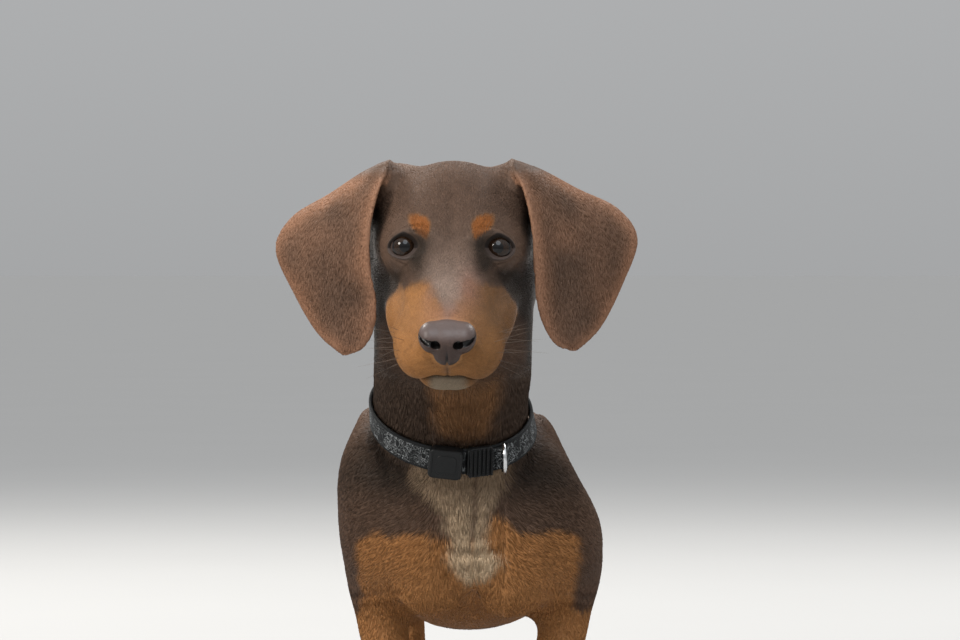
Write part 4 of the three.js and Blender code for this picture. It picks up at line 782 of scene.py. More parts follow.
def markings(Q):
    x, y, z, s, f, u = Q.x, Q.y, Q.z, Q.s, Q.f, Q.u
    a = np.abs(s)
    dz = z - MID[2]
    n1 = vnoise(x, y, z, 7, 0) + 0.5 * vnoise(x, y, z, 2.6, 1)
    n2 = vnoise(x, y, z, 16, 2)
    soft = lambda d, w: sstep(-w, w, d)
    head, ear = Q.head, Q.ear
    # brow spots: broad above, with a tail down the inner side
    t = np.clip((dz - 3) / 14, 0, 1)
    qb = np.sqrt(((a - (13.4 + 5.8 * t)) / (1.9 + 6.0 * t ** 0.8)) ** 2 + ((dz - 10.3) / 7.2) ** 2)
    brow = (1 - sstep(0.78, 1.16, qb + 0.08 * n1)) * (f > -40)
    # muzzle below the eyes, leaving the bridge brown; the cheeks behind it are darkened with painted shade
    bridge = np.interp(f, [0, 15, 28, 38, 48, 55], [15.5, 13.5, 11.5, 9.0, 5.0, 0.5])
    back = np.interp(u, [-58, -48, -40, -30, -10], [-8, -2, 3, 7, 9])
    own = 1 - sstep(1.5, 5, np.minimum(skull_form(s, f, u), jaw_form(s, f, u)))
    face = soft(-np.interp(a, [8, 13, 18, 24, 34], [17.6, 18.6, 21.0, 23.2, 24.0]) - dz + 1.7 * n1, 3.0) * soft(a - bridge + 1.8 * n1, 4.4) * soft(f - back + 2.0 * n1, 4)
    under = soft(-43 - u + 1.0 * n1, 3) * soft(f - back + 2 * n1, 6)
    tan = np.maximum(brow, np.maximum(face, under) * own) * head
    # throat: tan at 0.6 strength only, muted as painted shade under the head
    throat = 0.6 * soft(21 - np.abs(x + 1) - 0.16 * np.maximum(0, 214 - z) + 2.0 * n1, 5) * soft(z - 184 + 2 * n1, 6) * (y < -30) * (1 - head)
    tan = np.maximum(tan, throat)
    # chest and forelegs
    X = x - 1.0
    top = 126.5 + 11 * bell(x - 17, 7) - 0.02 * np.maximum(0, np.abs(X) - 50) ** 2 + 2.4 * n1
    side = 61 + 20 * sstep(88, 56, z) + 1.8 * n1
    chest = soft(top - z, 3.2) * soft(side - np.abs(X), 3.4) * (y < 62) * sstep(64, 50, y + 0.0 * z) * sstep(10, -6, y - 0.55 * (118 - z))
    low = soft(78 + 3 * n1 + 5 * n2 - z, 6) * (Q.xf > 18) * soft(60 - y + 4 * n1, 8)
    tan = np.maximum(tan, np.maximum(chest, low * (y < 80)))
    # hind legs: feet, hocks and the inner side; under the tail
    hind = soft(58 + 3 * n1 + 4 * n2 - z + 0.12 * (y - 240), 6) * (y > 150)
    inner = soft(np.interp(y, [192, 226], [20, 42]) - Q.xr + 2 * n1, 4) * soft(112 - z + 3 * n1, 6) * soft(y - 192 + 3 * n1, 6)
    vent = soft(13 - Q.xr + 1.5 * n1, 3) * soft(y - 262, 6) * soft(np.interp(y, [262, 280, 320, 360], [158, 156, 145, 131]) - z + 1.5 * n1, 4) * (z > 100) * soft(352 - y + 4 * n1, 10)
    tan = np.maximum(tan, np.maximum(hind, np.maximum(inner, vent)))
    # pale: middle of the chest, breastbone, chin
    half = np.interp(z, [98, 112, 121, 128, 138, 148, 156, 166], [4, 15, 12, 10.5, 12, 19, 25, 27])
    mid = np.interp(z, [98, 120, 135, 156], [5, 3, 0, -4])
    pale = soft(half - np.abs(x - mid) + 2.2 * n1, 3.4) * soft(z - 99 + 2 * n1, 4) * (y < -8) * (z < 176) * (1 - 0.62 * bell(x - 4.5 - 0.1 * (z - 134), 1.8) * soft(z - 122, 4))
    chin = soft(f - 51 + 1.2 * n1, 3) * soft(jaw_form(s, f, u) * -1 + skull_form(s, f, u) - 0.6, 0.6) * soft(9.0 - a + n1, 3.4) * head
    # dark: a ring round the eyes and a mark by their inner corners; painted shade under the eyes (heavier on the dog's
    # left side), behind the cheeks, under the ears in the hollow by the skull, on the neck under the head and on the
    # front of the shoulders
    ring = np.where(Q.eye < 5, 1 - sstep(0.04, 0.26, Q.eye), 0) * head
    # painted shade under the eyes, made heavier on the dog's left side
    patch = np.maximum(0.8 * bell(a - 30, 9) * bell(dz + 16, 6.5), 0.95 * bell(a - 19, 5.5) * bell(dz + 9.5, 7)) * np.where(s > 0, 1.45, 0.95) * (1 - 0.8 * tan) * head * (f > -32)
    # the muzzle is sooty along the lips and beside the nose, with rows of dark specks; its side on the dog's left is
    # darkened further with painted shade
    sooty_and_side_shade = np.maximum(0.55 * bell(skull_form(s, f, u) - jaw_form(s, f, u), 4.0) * soft(f - 5, 8), 0.5 * bell(nose_form(s, f, u), 2.6) * soft(f - 50, 5)) * soft(-16 - u, 6)
    speck = np.clip(1.9 * vnoise(x, y, z, 1.7, 0) - 0.75, 0, 1) * soft(a - 9, 3) * soft(f - 32, 5) * bell(u + 33, 10)
    # the term on the dog's left side of the muzzle is painted shade
    sooty_and_side_shade = np.clip(sooty_and_side_shade * (0.75 + 0.5 * n1) + 0.55 * speck + 0.22 * np.clip(n2 + 0.25 * n1, 0, 1) * soft(f - 10, 6) + 0.85 * soft(s - 8, 7) * soft(f - 2, 8) * (1 - 0.5 * soft(f - 46, 8)), 0, 1) * head * tan * (1 - brow)
    inner_eye = bell(a - 16.5, 3.2) * bell(dz + 1, 6) * (1 - brow) * head
    # painted shade behind the cheeks, in the hollow between ear and skull, on the neck under the head and on the front
    # of the shoulders
    behind = soft(back - 1 - f, 5) * soft(-17 - dz, 7) * (1 - tan) * head * soft(a - 22, 5) * sstep(-84, -58, f)
    hollow = soft(a - 37.5, 2.5) * soft(-18 - f, 6) * sstep(225, 235, z) * soft(2 - u, 5) * soft(f + 58, 12) * head
    neck = sstep(232, 214, z - 0.3 * (y + 60)) * soft(z - 150, 12) * sstep(14, -34, y) * (1 - tan) * (1 - pale) * 0.75
    shoulder = bell(np.abs(x - 2) - 38, 26) * bell(z - 148, 26) * soft(-8 - y, 12) * (1 - pale) * (1 - tan)
    # painted shade on the sides of the ears that face backwards
    earin = ear * (1 - Q.front) if hasattr(Q, "front") else 0 * x
    dark = np.clip(0.62 * ring + 0.80 * patch + 0.55 * inner_eye + 0.9 * behind + 0.95 * neck + 0.35 * shoulder + 0.95 * hollow, 0, 1) * (1 - ear)
    dark = np.maximum(dark, 0.62 * sooty_and_side_shade)
    dark = np.maximum(dark, 0.35 * earin)
    toes = 0
    for mx, spec in ((FORE_X, FORE_PAW), (HIND_X, HIND_PAW)):
        m = (np.abs(y - spec[1]) < 34) & (z < 26)
        for sx, fy, r in TOES:
            t = bell(np.abs(x - mx) - spec[0] - sx * spec[2], 1.5) * m * soft(spec[1] + fy * spec[3] + 2 - y, 4) * soft(z - 7, 3)
            toes = np.maximum(toes, t)
    dark = np.maximum(dark, 0.8 * toes)
    # grey: skull and bridge; warm: redder ears, with painted rim light brightening their edges, and the back
    grey = np.clip(0.05 * soft(f + 75, 20) + 0.72 * soft(15 - a, 5) * sstep(-12, 34, f) * soft(u + 26, 3) + 0.4 * bell(s, 7) * bell(f - 34, 7), 0, 1) * head * (1 - 0.85 * tan)
    warm_and_rim_light = ear * np.clip(0.25 + 0.9 * bell(Q.edge, 6) + 0.35 * n2, 0, 1)
    pink = (bell(s - 11, 6) * bell(f - 33, 13) + 0.5 * bell(s + 11, 4) * bell(f - 40, 9) + 0.8 * bell(s, 12) * bell(f - 53, 8)) * soft(u + 20, 4) * head
    # mouth line, rims of the lids: dark lip and lid edges, with painted shade in the furrow of the mouth, in the groove
    # under the nose and inside the nostrils
    gap = np.abs(skull_form(s, f, u) - jaw_form(s, f, u)) if head.any() else 0 * x
    lip = bell(gap, 1.25) * head * soft(f + 22, 5) * soft(-33 - u, 3) * (a > -1)
    philtrum = bell(s, 0.9) * soft(f - 57, 2.5) * soft(-24 - u, 2) * head * soft(jaw_form(s, f, u) - skull_form(s, f, u), 0.5)
    upper = np.where(Q.eye < 5, bell(Q.eye - 0.015, 0.055), 0) * (dz > -0.5) * (Q.eyer < 12)
    lower = np.where(Q.eye < 5, bell(Q.eye - 0.03, 0.06), 0) * (dz <= -0.5) * (Q.eyer < 12)
    inside = 1 - sstep(0.4, 1.6, nostril_form(a, f, u))
    crease = np.clip(0.9 * lip * own + 0.3 * philtrum + 0.9 * upper + inside * head * (f > 50), 0, 1)
    snout = bell(s, 9) * soft(f - 58, 3) * soft(-22 - u, 3) * head
    return {"tan": tan * (1 - ear), "pale": np.clip(np.maximum(pale, chin), 0, 1), "dark": dark * (1 - np.maximum(0.9 * tan, 0)) if False else dark,
            "grey": np.clip(grey + 0.22 * snout * (1 - chin), 0, 1), "pink": np.clip(pink, 0, 1), "crease": crease, "lower": lower, "warm_and_rim_light": np.clip(warm_and_rim_light, 0, 1), "chin": chin, "brow": brow * head}

def store(me, marks, n):
    for name, keys in (("mk_a", ("tan", "pale", "dark")), ("mk_b", ("grey", "pink", "crease")), ("mk_c", ("warm_and_rim_light", "lower", "tint")), ("mk_d", ("tip", "short", "chin"))):
        A = np.ones((n, 4), np.float32)
        for i, k in enumerate(keys):
            A[:, i] = marks.get(k, np.zeros(n))
        me.attributes.new(name, "FLOAT_COLOR", "POINT").data.foreach_set("color", A.ravel())

# ------------------------------------------------------------------ the lie of the coat
def lie(Q, N):
    x, y, z, s, f, u = Q.x, Q.y, Q.z, Q.s, Q.f, Q.u
    n = len(x)
    D = np.zeros((n, 3))
    def add(w, v):
        v = np.asarray(v, float)
        if v.ndim == 1:
            v = v[None]
        D[:] += w[:, None] * v
    vec = lambda a, b, c: np.stack([a + 0 * x, b + 0 * x, c + 0 * x], 1)
    a, sg = np.abs(s), np.sign(s)
    # trunk: backwards, sinking on the flanks; breast: down and out round the shoulders
    side = np.clip(np.abs(x - 3) / 60, 0, 1)
    trunk = (1 - Q.head) * (1 - Q.ear)
    front = sstep(22, -30, y) * (z < 215)
    out = np.sign(x - 2) * sstep(4, 40, np.abs(x - 2))
    add(trunk * (1 - front), vec(0, 1.0, -0.35 * side))
    add(trunk * front * (z < 400), vec(0.95 * out * sstep(178, 150, z) * sstep(70, 105, z) - 0.25 * np.clip((x - 1) / 14, -1, 1) * (np.abs(x - 1) < 20), 0.45 * np.abs(out), -0.75))
    necky = trunk * sstep(172, 198, z + 0.45 * (y + 20)) * (y < 60)
    add(2.2 * necky, vec(0, 0.5, -0.86))
    fore = trunk * (Q.xf > 22) * (y < 45) * sstep(104, 82, z)
    add(3.0 * fore, vec(0, 0.12, -1))
    add(3.0 * fore * sstep(24, 12, z), vec(0, -1.4, -0.2))
    hind = trunk * (y > 185) * sstep(116, 82, z) * (Q.xr > 20)
    add(3.0 * hind, vec(0, 0.25, -1))
    add(3.0 * hind * sstep(24, 12, z), vec(0, -1.4, -0.2))
    rump = trunk * (y > 236) * (z > 100) * (y < 300) * sstep(236, 262, y)
    add(1.4 * rump, vec(0, 0.25, -0.8))
    tail = trunk * sstep(282, 300, y)
    add(5.0 * tail, vec(0.03, 0.93, -0.34))
    # head: back from the nose, out over the cheeks, down the jaw
    hv = -HF[None] * 1.0 + (HS[None] * (sg * sstep(2, 24, a) * 0.55)[:, None]) + HU[None] * (0.35 * soft_step(u, -22, -6) - 0.55 * soft_step(-u, 20, 34))[:, None]
    add(4.0 * Q.head, hv)
    # the hair parts round the eyes
    for sd in (1, -1):
        c = EYES[sd]
        o, up, g = eye_frame(sd)
        px, py, pz = x - c[0], y - c[1], z - c[2]
        A, B = px * o[0] + py * o[1] + pz * o[2], px * up[0] + py * up[1] + pz * up[2]
        r = np.sqrt(A * A + B * B) + 1e-6
        k = 5.0 * Q.head * (1 - sstep(10, 20, np.sqrt(px * px + py * py + pz * pz)))
        add(k, (A / r)[:, None] * o[None] + (B / r)[:, None] * up[None] + 0.5 * o[None])
    ev = vec(0.10 * np.sign(x), 0.05, -1.0)
    add(8.0 * Q.ear, ev)
    # combed waves
    w1, w2 = vnoise(x, y, z, 15, 3), vnoise(x, y, z, 6, 1)
    B = np.cross(N, D)
    D += B * ((0.15 * w1 + 0.07 * w2) * (1 - 0.8 * Q.ear) * (1 - 0.4 * Q.head))[:, None]
    D -= N * (D * N).sum(1, keepdims=True)
    l = np.linalg.norm(D, axis=1, keepdims=True)
    bad = l[:, 0] < 1e-3
    D[bad] = np.cross(N[bad], [1.0, 0, 0]); l[bad] = np.maximum(np.linalg.norm(D[bad], axis=1, keepdims=True), 1e-6)
    return D / l
def soft_step(v, a, b):
    return sstep(a, b, v)

# the skin's own markings
QS = Place(SP)
QS.front = (SN[:, 1] < 0.15).astype(float)
ms = markings(QS)
ms["tint"] = 0 * SP[:, 0] + 0.5
ms["tip"] = 0 * SP[:, 0] + 0.35
ms["short"] = QS.head * (1 - ms["brow"])
store(skin.data, ms, len(SP))
tick("marked")

# ------------------------------------------------------------------ tufts
def sow(count):
    A, B, C = SP[ST[:, 0]], SP[ST[:, 1]], SP[ST[:, 2]]
    area = 0.5 * np.linalg.norm(np.cross(B - A, C - A), axis=1)
    M = (A + B + C) / 3
    q = Place(M)
    dens = 0.55 + 0 * area
    legs = (q.z < 84) & ((q.y < 60) | (q.y > 185))
    dens = np.where((q.y < 20) & (q.z < 215) & (q.head < 0.5) & (q.z > 84), 1.2, dens)
    dens = np.where(legs, 1.2, dens)
    dens = np.where(legs & (q.z < 30), 2.0, dens)
    dens = np.where(q.head > 0.5, 2.2, dens)
    dens = np.where((q.head > 0.5) & (q.f > -45), 3.1, dens)
    dens = np.where((q.head > 0.5) & (q.f > 8), 4.4, dens)
    dens = np.where(q.ear > 0.5, 2.2, dens)
    # bare: the rims of the lids, under the nose leather, soles, under the band
    bare = (q.eye < 0.16) & (q.eyer < 13)
    bare |= nose_form(q.s, q.f, q.u) < 0.4
    bare |= M[:, 2] < 1.2
    bare |= (np.abs(q.w) < 6.8) & (collar_radius(M[:, 0], M[:, 1], M[:, 2]) < 75)
    bare |= np.abs(skull_form(q.s, q.f, q.u) - jaw_form(q.s, q.f, q.u)) * (q.head > 0.5) + 9 * (q.head <= 0.5) + 9 * (q.f < 10) < 0.5
    dens = np.where(bare, 0, dens)
    W = area * dens
    total = W.sum()
    n = int(min(count, total))
    cum = np.cumsum(W) / total * n
    t = np.arange(n) + rng.random(n)
    pick = np.clip(np.searchsorted(cum, t), 0, len(W) - 1)
    r1, r2 = np.sqrt(rng.random(n)), rng.random(n)
    b = np.stack([1 - r1, r1 * (1 - r2), r1 * r2], 1)
    P = (SP[ST[pick]] * b[:, :, None]).sum(1)
    N = (SN[ST[pick]] * b[:, :, None]).sum(1)
    N /= np.maximum(np.linalg.norm(N, axis=1, keepdims=True), 1e-9)
    uv = (SUV[SL[pick]] * b[:, :, None]).sum(1)
    print("tufts wanted %d of %d" % (n, int(total)))
    return P, N, uv

COUNT = 330000
P, N, UV = sow(COUNT)
Q = Place(P)
Q.front = (N[:, 1] < 0.15).astype(float)
D = lie(Q, N)
marks = markings(Q)
tick("tufts sown %d" % len(P))

def tuft_sizes(Q, N):
    n = len(Q.x)
    L, W, H, lift = np.full(n, 8.4), np.full(n, 0.92), np.full(n, 0.26), np.full(n, 0.62)
    def put(m, l, w, h, li):
        m = np.clip(m, 0, 1)
        for A, v in ((L, l), (W, w), (H, h), (lift, li)):
            A += (v - A) * m
    z, y = Q.z, Q.y
    chest = sstep(20, -25, y) * sstep(96, 112, z) * (1 - Q.head)
    put(chest, 7.6, 0.85, 0.32, 1.0)
    put(chest * bell(Q.x - 1, 16) * (z > 112), 9.5, 0.85, 0.36, 1.3)
    put(sstep(172, 198, z + 0.45 * (y + 20)) * (y < 60), 7.0, 0.85, 0.32, 0.9)
    legs = ((y < 60) | (y > 185)) * sstep(98, 72, z)
    put(legs, 4.6, 0.72, 0.26, 0.6)
    put(legs * sstep(38, 24, z), 2.7, 0.52, 0.20, 0.35)
    put(sstep(280, 300, y), 6.5, 0.85, 0.32, 1.0)
    put(Q.head, 3.6, 0.56, 0.22, 0.42)
    put(Q.head * sstep(-70, -40, -Q.f) * (Q.u < -20), 4.6, 0.65, 0.24, 0.6)
    put(Q.head * sstep(-30, -5, Q.f), 2.9, 0.50, 0.18, 0.32)
    put(Q.head * sstep(8, 24, Q.f), 2.1, 0.42, 0.15, 0.24)
    put(Q.head * sstep(34, 52, Q.f), 1.6, 0.36, 0.13, 0.2)
    near = 1 - sstep(11, 18, Q.eyer)
    put(Q.head * near, 1.5, 0.34, 0.12, 0.18)
    put(Q.ear, 5.4, 0.50, 0.13, 0.2)
    put(Q.ear * (1 - Q.front), 3.6, 0.55, 0.14, 0.2)
    put(Q.ear * bell(Q.edge, 4.0), 2.2, 0.42, 0.12, 0.1)
    # where the ear springs from the skull the hair is short and close
    spring = Q.head * (np.abs(Q.s) > 29) * (Q.u > -8) * (Q.f < -34) + (Q.ear > 0.05) * sstep(314, 326, z)
    put(spring, 2.0, 0.46, 0.14, 0.12)
    k = rng.uniform(0.72, 1.28, n)
    L *= k; W *= rng.uniform(0.8, 1.25, n)
    # beside the collar they stop at the band
    w = np.abs(Q.w)
    m = (w < 24) & (collar_radius(Q.x, Q.y, Q.z) < 78)
    room = np.clip(w - 6.4, 1.4, 30)
    L = np.where(m & (Q.w > 0), np.minimum(L, room), L)
    lift = np.where(m, np.minimum(lift, 0.9), lift)
    return L, W, H, lift

L, W, H, lift = tuft_sizes(Q, N)
turn = rng.normal(0, 0.07, len(P))[:, None]
B = np.cross(N, D)
D = D * np.cos(turn) + B * np.sin(turn)
B = np.cross(N, D)
lift = lift * rng.uniform(0.35, 0.95, len(P))

def snap(X, fallback):
    loc, nor = np.empty_like(X), np.empty_like(X)
    find = tree.find_nearest
    for i, p in enumerate(X.tolist()):
        l, nn, _, d = find(p, 9.0)
        if l is None:
            loc[i] = p; nor[i] = fallback[i]
        else:
            loc[i] = l; nor[i] = nn
    return loc, nor
M2, N2 = snap(P + D * L[:, None], N)
# a lock must not fold round an edge on to the far side
spring = (Q.z > 285) & (np.abs(Q.s) > 29) & (Q.f < -30)
keep = (N2 * N).sum(1) > np.where(spring, 0.45, 0.2)
P, N, D, B, UV, L, W, H, lift, M2, N2 = (q[keep] for q in (P, N, D, B, UV, L, W, H, lift, M2, N2))
marks = {q: v[keep] for q, v in marks.items()}
on_head = Q.head[keep]
tick("laid")
V = np.empty((len(P), 4, 3))
root = P + D * (L * 0.12)[:, None] - N * 0.2
V[:, 0] = root - B * (W * 0.5)[:, None]
V[:, 1] = root + B * (W * 0.5)[:, None]
V[:, 2] = P + D * (L * 0.30)[:, None] + N * (H + 0.25 * lift)[:, None]
V[:, 3] = M2 + N2 * lift[:, None]
floor_hit = V[:, :, 2] < 0.15
V[:, :, 2] = np.where(floor_hit, 0.15, V[:, :, 2])
TRI = np.array([(0, 3, 2), (1, 2, 3), (0, 1, 3), (0, 2, 1)])
PATCH = np.array([(-1.2, -1.5), (1.2, -1.5), (0.0, -0.3), (0.0, 1.5)]) * 0.001

def piece_from(name, V, TRI, per, uv=None, marks=None, smooth=True):
    """a mesh of many like closed locks: V is count x per x 3 in millimetres"""
    n = len(V)
    me = bpy.data.meshes.new(name)
    co = to_world(V.reshape(-1, 3)).astype(np.float32)
    me.vertices.add(len(co)); me.vertices.foreach_set("co", co.ravel())
    T = (np.arange(n)[:, None, None] * per + TRI[None]).reshape(-1, 3)
    me.loops.add(T.size); me.loops.foreach_set("vertex_index", T.ravel().astype(np.int32))
    me.polygons.add(len(T)); me.polygons.foreach_set("loop_start", np.arange(len(T), dtype=np.int32) * 3)
    if uv is not None:
        lay = me.uv_layers.new(name="OFBake")
        lay.data.foreach_set("uv", uv.reshape(-1, 2)[T.ravel()].astype(np.float32).ravel())
    me.update(calc_edges=True)
    if marks is not None:
        store(me, marks, len(co))
    if smooth:
        me.shade_smooth()
    ob = bpy.data.objects.new(name, me)
    bpy.context.scene.collection.objects.link(ob)
    return ob

LAYERS = 8
uvs = np.clip(UV, 0.0022, 0.9978)[:, None] + PATCH[None]
drop = np.where(Q.ear[keep] > 0.5, 0.12, 1.0)
tint = np.clip(0.5 + 0.5 * (0.55 * rng.normal(0, 0.5, len(P)) + 0.45 * vnoise(P[:, 0] * (2 - drop), P[:, 1] * drop, P[:, 2] * drop, 3.0, 2)) * (1 + 0.5 * on_head), 0, 1)
order = rng.permutation(len(P))
coat = []
for i in range(LAYERS):
    k = order[i::LAYERS]
    mk = {q: np.repeat(v[k], 4) for q, v in marks.items()}
    mk["tint"] = np.repeat(tint[k], 4)
    mk["tip"] = np.tile(np.array([0.1, 0.1, 0.55, 1.0]), len(k))
    mk["short"] = np.repeat((on_head * (1 - marks["brow"]))[k], 4)
    ob = piece_from("coat_%d" % (i + 1), V[k], TRI, 4, uvs[k], mk)
    coat.append(ob)
tick("coat")

# ------------------------------------------------------------------ small solids
def join_rings(rings, closed_loop=False):
    """rings: count x sides x 3; returns points and faces of a capped tube, or of a closed loop"""
    n, m = rings.shape[:2]
    P = rings.reshape(-1, 3)
    F = []
    for i in range(n if closed_loop else n - 1):
        a, b = i * m, ((i + 1) % n) * m
        for k in range(m):
            F.append([a + k, a + (k + 1) % m, b + (k + 1) % m, b + k])
    if not closed_loop:
        F.append(list(range(m))[::-1]); F.append([(n - 1) * m + k for k in range(m)])
    return P, F

def frames_along(P, closed_loop=False, hint=(0, 0, 1)):
    n = len(P)
    T = np.roll(P, -1, 0) - np.roll(P, 1, 0) if closed_loop else np.gradient(P, axis=0)
    T /= np.linalg.norm(T, axis=1, keepdims=True)
    h = np.asarray(hint, float)
    A = np.cross(T, h[None]); A /= np.maximum(np.linalg.norm(A, axis=1, keepdims=True), 1e-6)
    return T, A, np.cross(A, T)

def tube(P, R, sides=6, closed_loop=False, hint=(0, 0, 1)):
    P = np.asarray(P, float)
    R = np.broadcast_to(np.asarray(R, float), (len(P),))
    T, A, B = frames_along(P, closed_loop, hint)
    a = 2 * pi * (np.arange(sides) + 0.5) / sides
    rings = P[:, None] + R[:, None, None] * (np.cos(a)[None, :, None] * A[:, None] + np.sin(a)[None, :, None] * B[:, None])
    return join_rings(rings, closed_loop)

def gather(parts):
    P, F, k = [], [], 0
    for p, f in parts:
        P.append(p); F += [[i + k for i in q] for q in f]; k += len(p)
    return np.concatenate(P), F

def outward(ob):
    bm = bmesh.new(); bm.from_mesh(ob.data)
    bmesh.ops.recalc_face_normals(bm, faces=bm.faces)
    bm.to_mesh(ob.data); bm.free()

def float_mark(ob, name, values):
    ob.data.attributes.new(name, "FLOAT", "POINT").data.foreach_set("value", np.asarray(values, np.float32))

# ------------------------------------------------------------------ eyes: ball with a clear bulge in front
EYE_R = EYE[3]
GAZE = np.array([0.015, -1.0, 0.02]); GAZE /= np.linalg.norm(GAZE)
eyes = []
for side, word in ((1, "left"), (-1, "right")):
    c = EYES[side]
    ax = np.cross(GAZE, [0, 0, 1.0]); ax /= np.linalg.norm(ax)
    up = np.cross(ax, GAZE)
    th = np.concatenate([np.linspace(0.02, 1.15, 46), np.linspace(1.22, pi - 0.05, 22)])
    r = EYE_R + 0.55 * bell(th, 0.55)
    rings = []
    for t, q in zip(th, r):
        a = 2 * pi * np.arange(56) / 56
        rings.append(c + q * (cos(t) * GAZE + sin(t) * (np.cos(a)[:, None] * ax + np.sin(a)[:, None] * up)))
    P_, F_ = join_rings(np.array(rings))
    ob = new_object("eye_%s_ball" % word, P_, F_)
    outward(ob)
    float_mark(ob, "theta", np.repeat(th, 56))
    eyes.append((ob, "eye_%s" % word))
tick("eyes")

# ------------------------------------------------------------------ nose leather
def nose_skin(x, y, z):
    s, f, u = to_head(x, y, z)
    a = np.abs(s)
    d = nose_form(s, f, u) - 0.1
    near = d < 4
    # groove down the middle, deeper below
    d = d + (0.30 + 0.8 * sstep(-18, -25, u)) * bell(s, 0.75) * sstep(62, 66, f) * sstep(-12, -16, u)
    d = smax(d, -nostril_form(a, f, u), 0.8)
    # wings of the nostrils swell a little
    d = d - 0.45 * bell(a - 10.4, 3.0) * bell(u + 20.5, 2.0) * sstep(60, 66, f) - 0.25 * bell(a - 9, 3) * bell(u + 11.5, 1.8) * sstep(60, 66, f)
    # pebbled
    if near.any():
        cell = 1.05
        p = np.stack([x[near], y[near], z[near]], 1) / cell
        base = np.floor(p).astype(int)
        best = np.full(len(p), 9.0)
        T = NOISE[3]
        for i in (-1, 0, 1):
            for j in (-1, 0, 1):
                for k in (-1, 0, 1):
                    q = base + (i, j, k)
                    jit = np.stack([T[q[:, 0] % 32, q[:, 1] % 32, q[:, 2] % 32], T[(q[:, 0] + 7) % 32, (q[:, 1] + 3) % 32, q[:, 2] % 32], T[q[:, 0] % 32, (q[:, 1] + 11) % 32, (q[:, 2] + 5) % 32]], 1)
                    best = np.minimum(best, ((q + jit - p) ** 2).sum(1))
        d[near] += 0.10 * (np.clip(np.sqrt(best), 0, 1) - 0.5) * sstep(56, 60, f[near])
    return np.maximum(d, 53 - f)
NC = from_head(0, 62, -20)
PN, QN = nets(nose_skin, NC - (21, 17, 19), NC + (21, 15, 18), 0.46, 1)
nose_leather = new_object("nose_leather", PN, QN.tolist())
outward(nose_leather)
s_, f_, u_ = to_head(PN[:, 0], PN[:, 1], PN[:, 2])
# deep: how far into the nostrils each point lies, for their painted shade
float_mark(nose_leather, "deep", np.clip((nose_form(s_, f_, u_) * -1 - 0.12) / 0.6, 0, 1) * sstep(58, 61, f_))
float_mark(nose_leather, "height", u_)
tick("nose %d" % len(QN))

# ------------------------------------------------------------------ claws
claws = []
for kind, spec, mid_x in (("forepaw", FORE_PAW, FORE_X), ("hindpaw", HIND_PAW, HIND_X)):
    for side, word in ((1, "left"), (-1, "right")):
        parts_ = []
        for sx, fy, r in TOES:
            x0, y0 = mid_x + side * (spec[0] + sx * spec[2]), spec[1] + fy * spec[3] - r * 1.35 + 3
            t = np.linspace(-0.18, 1, 15)
            tc = np.clip(t, 0, 1)
            R = 2.35 + (0.35 - 2.35) * tc ** 1.25
            cy = y0 - 7 * t
            cz = 9.6 - 3.5 * tc - 1.7 * tc ** 2
            cx = x0 + side * sx * 7 * t * 0.25
            a = 2 * pi * np.arange(14) / 14
            ring = np.stack([cx[:, None] + np.cos(a) * R[:, None] * 0.66, cy[:, None] - np.sin(a) * R[:, None] * 0.35, cz[:, None] + np.where(np.sin(a) < 0, 0.8, 1.0) * np.sin(a) * R[:, None]], 2)
            parts_.append(join_rings(ring))
        P_, F_ = gather(parts_)
        ob = new_object("claws_%s_%s" % (kind, word), P_, F_)
        outward(ob)
        float_mark(ob, "along", np.tile(np.repeat(np.linspace(-0.18, 1, 15), 14), 4))
        claws.append((ob, ["claw_%s_%s_%d" % (kind, word, i) for i in (1, 2, 3, 4)]))

# ------------------------------------------------------------------ collar
def whole_form(x, y, z):
    s, f, u = to_head(x, y, z)
    h = smin(skull_form(s, f, u), jaw_form(s, f, u), 3)
    h = smin(h, nose_form(s, f, u), 2.5)
    return np.maximum(smin(body_form(x, y, z), h, 12), -z)
def on_collar(deg, r, w):
    a = np.radians(deg)
    return CMID + CX * (np.cos(a) * r)[..., None] + CY * (np.sin(a) * r)[..., None] + CN * (w + 0 * np.asarray(r, float))[..., None]
def coat_radius(deg, w):
    deg = np.asarray(deg, float)
    a, b = np.full(deg.shape, 20.0), np.full(deg.shape, 90.0)
    for _ in range(24):
        m = (a + b) / 2
        p = on_collar(deg, m, w)
        q = whole_form(p[..., 0].ravel(), p[..., 1].ravel(), p[..., 2].ravel()).reshape(deg.shape) < 0
        a, b = np.where(q, m, a), np.where(q, b, m)
    return a
_deg = np.arange(0, 360, 3.0)
_tab = {}
def band_radius(deg, w):
    if w not in _tab:
        c = coat_radius(_deg, w)
        _tab[w] = sum(np.roll(c, k) for k in (-4, -2, 0, 2, 4)) / 5 + CCLEAR
    return np.interp(np.mod(deg, 360), np.append(_deg, 360), np.append(_tab[w], _tab[w][0]))

STEPS = 260
deg = np.arange(STEPS) * 360 / STEPS
lo, hi = band_radius(deg, -7.5), band_radius(deg, 7.5)
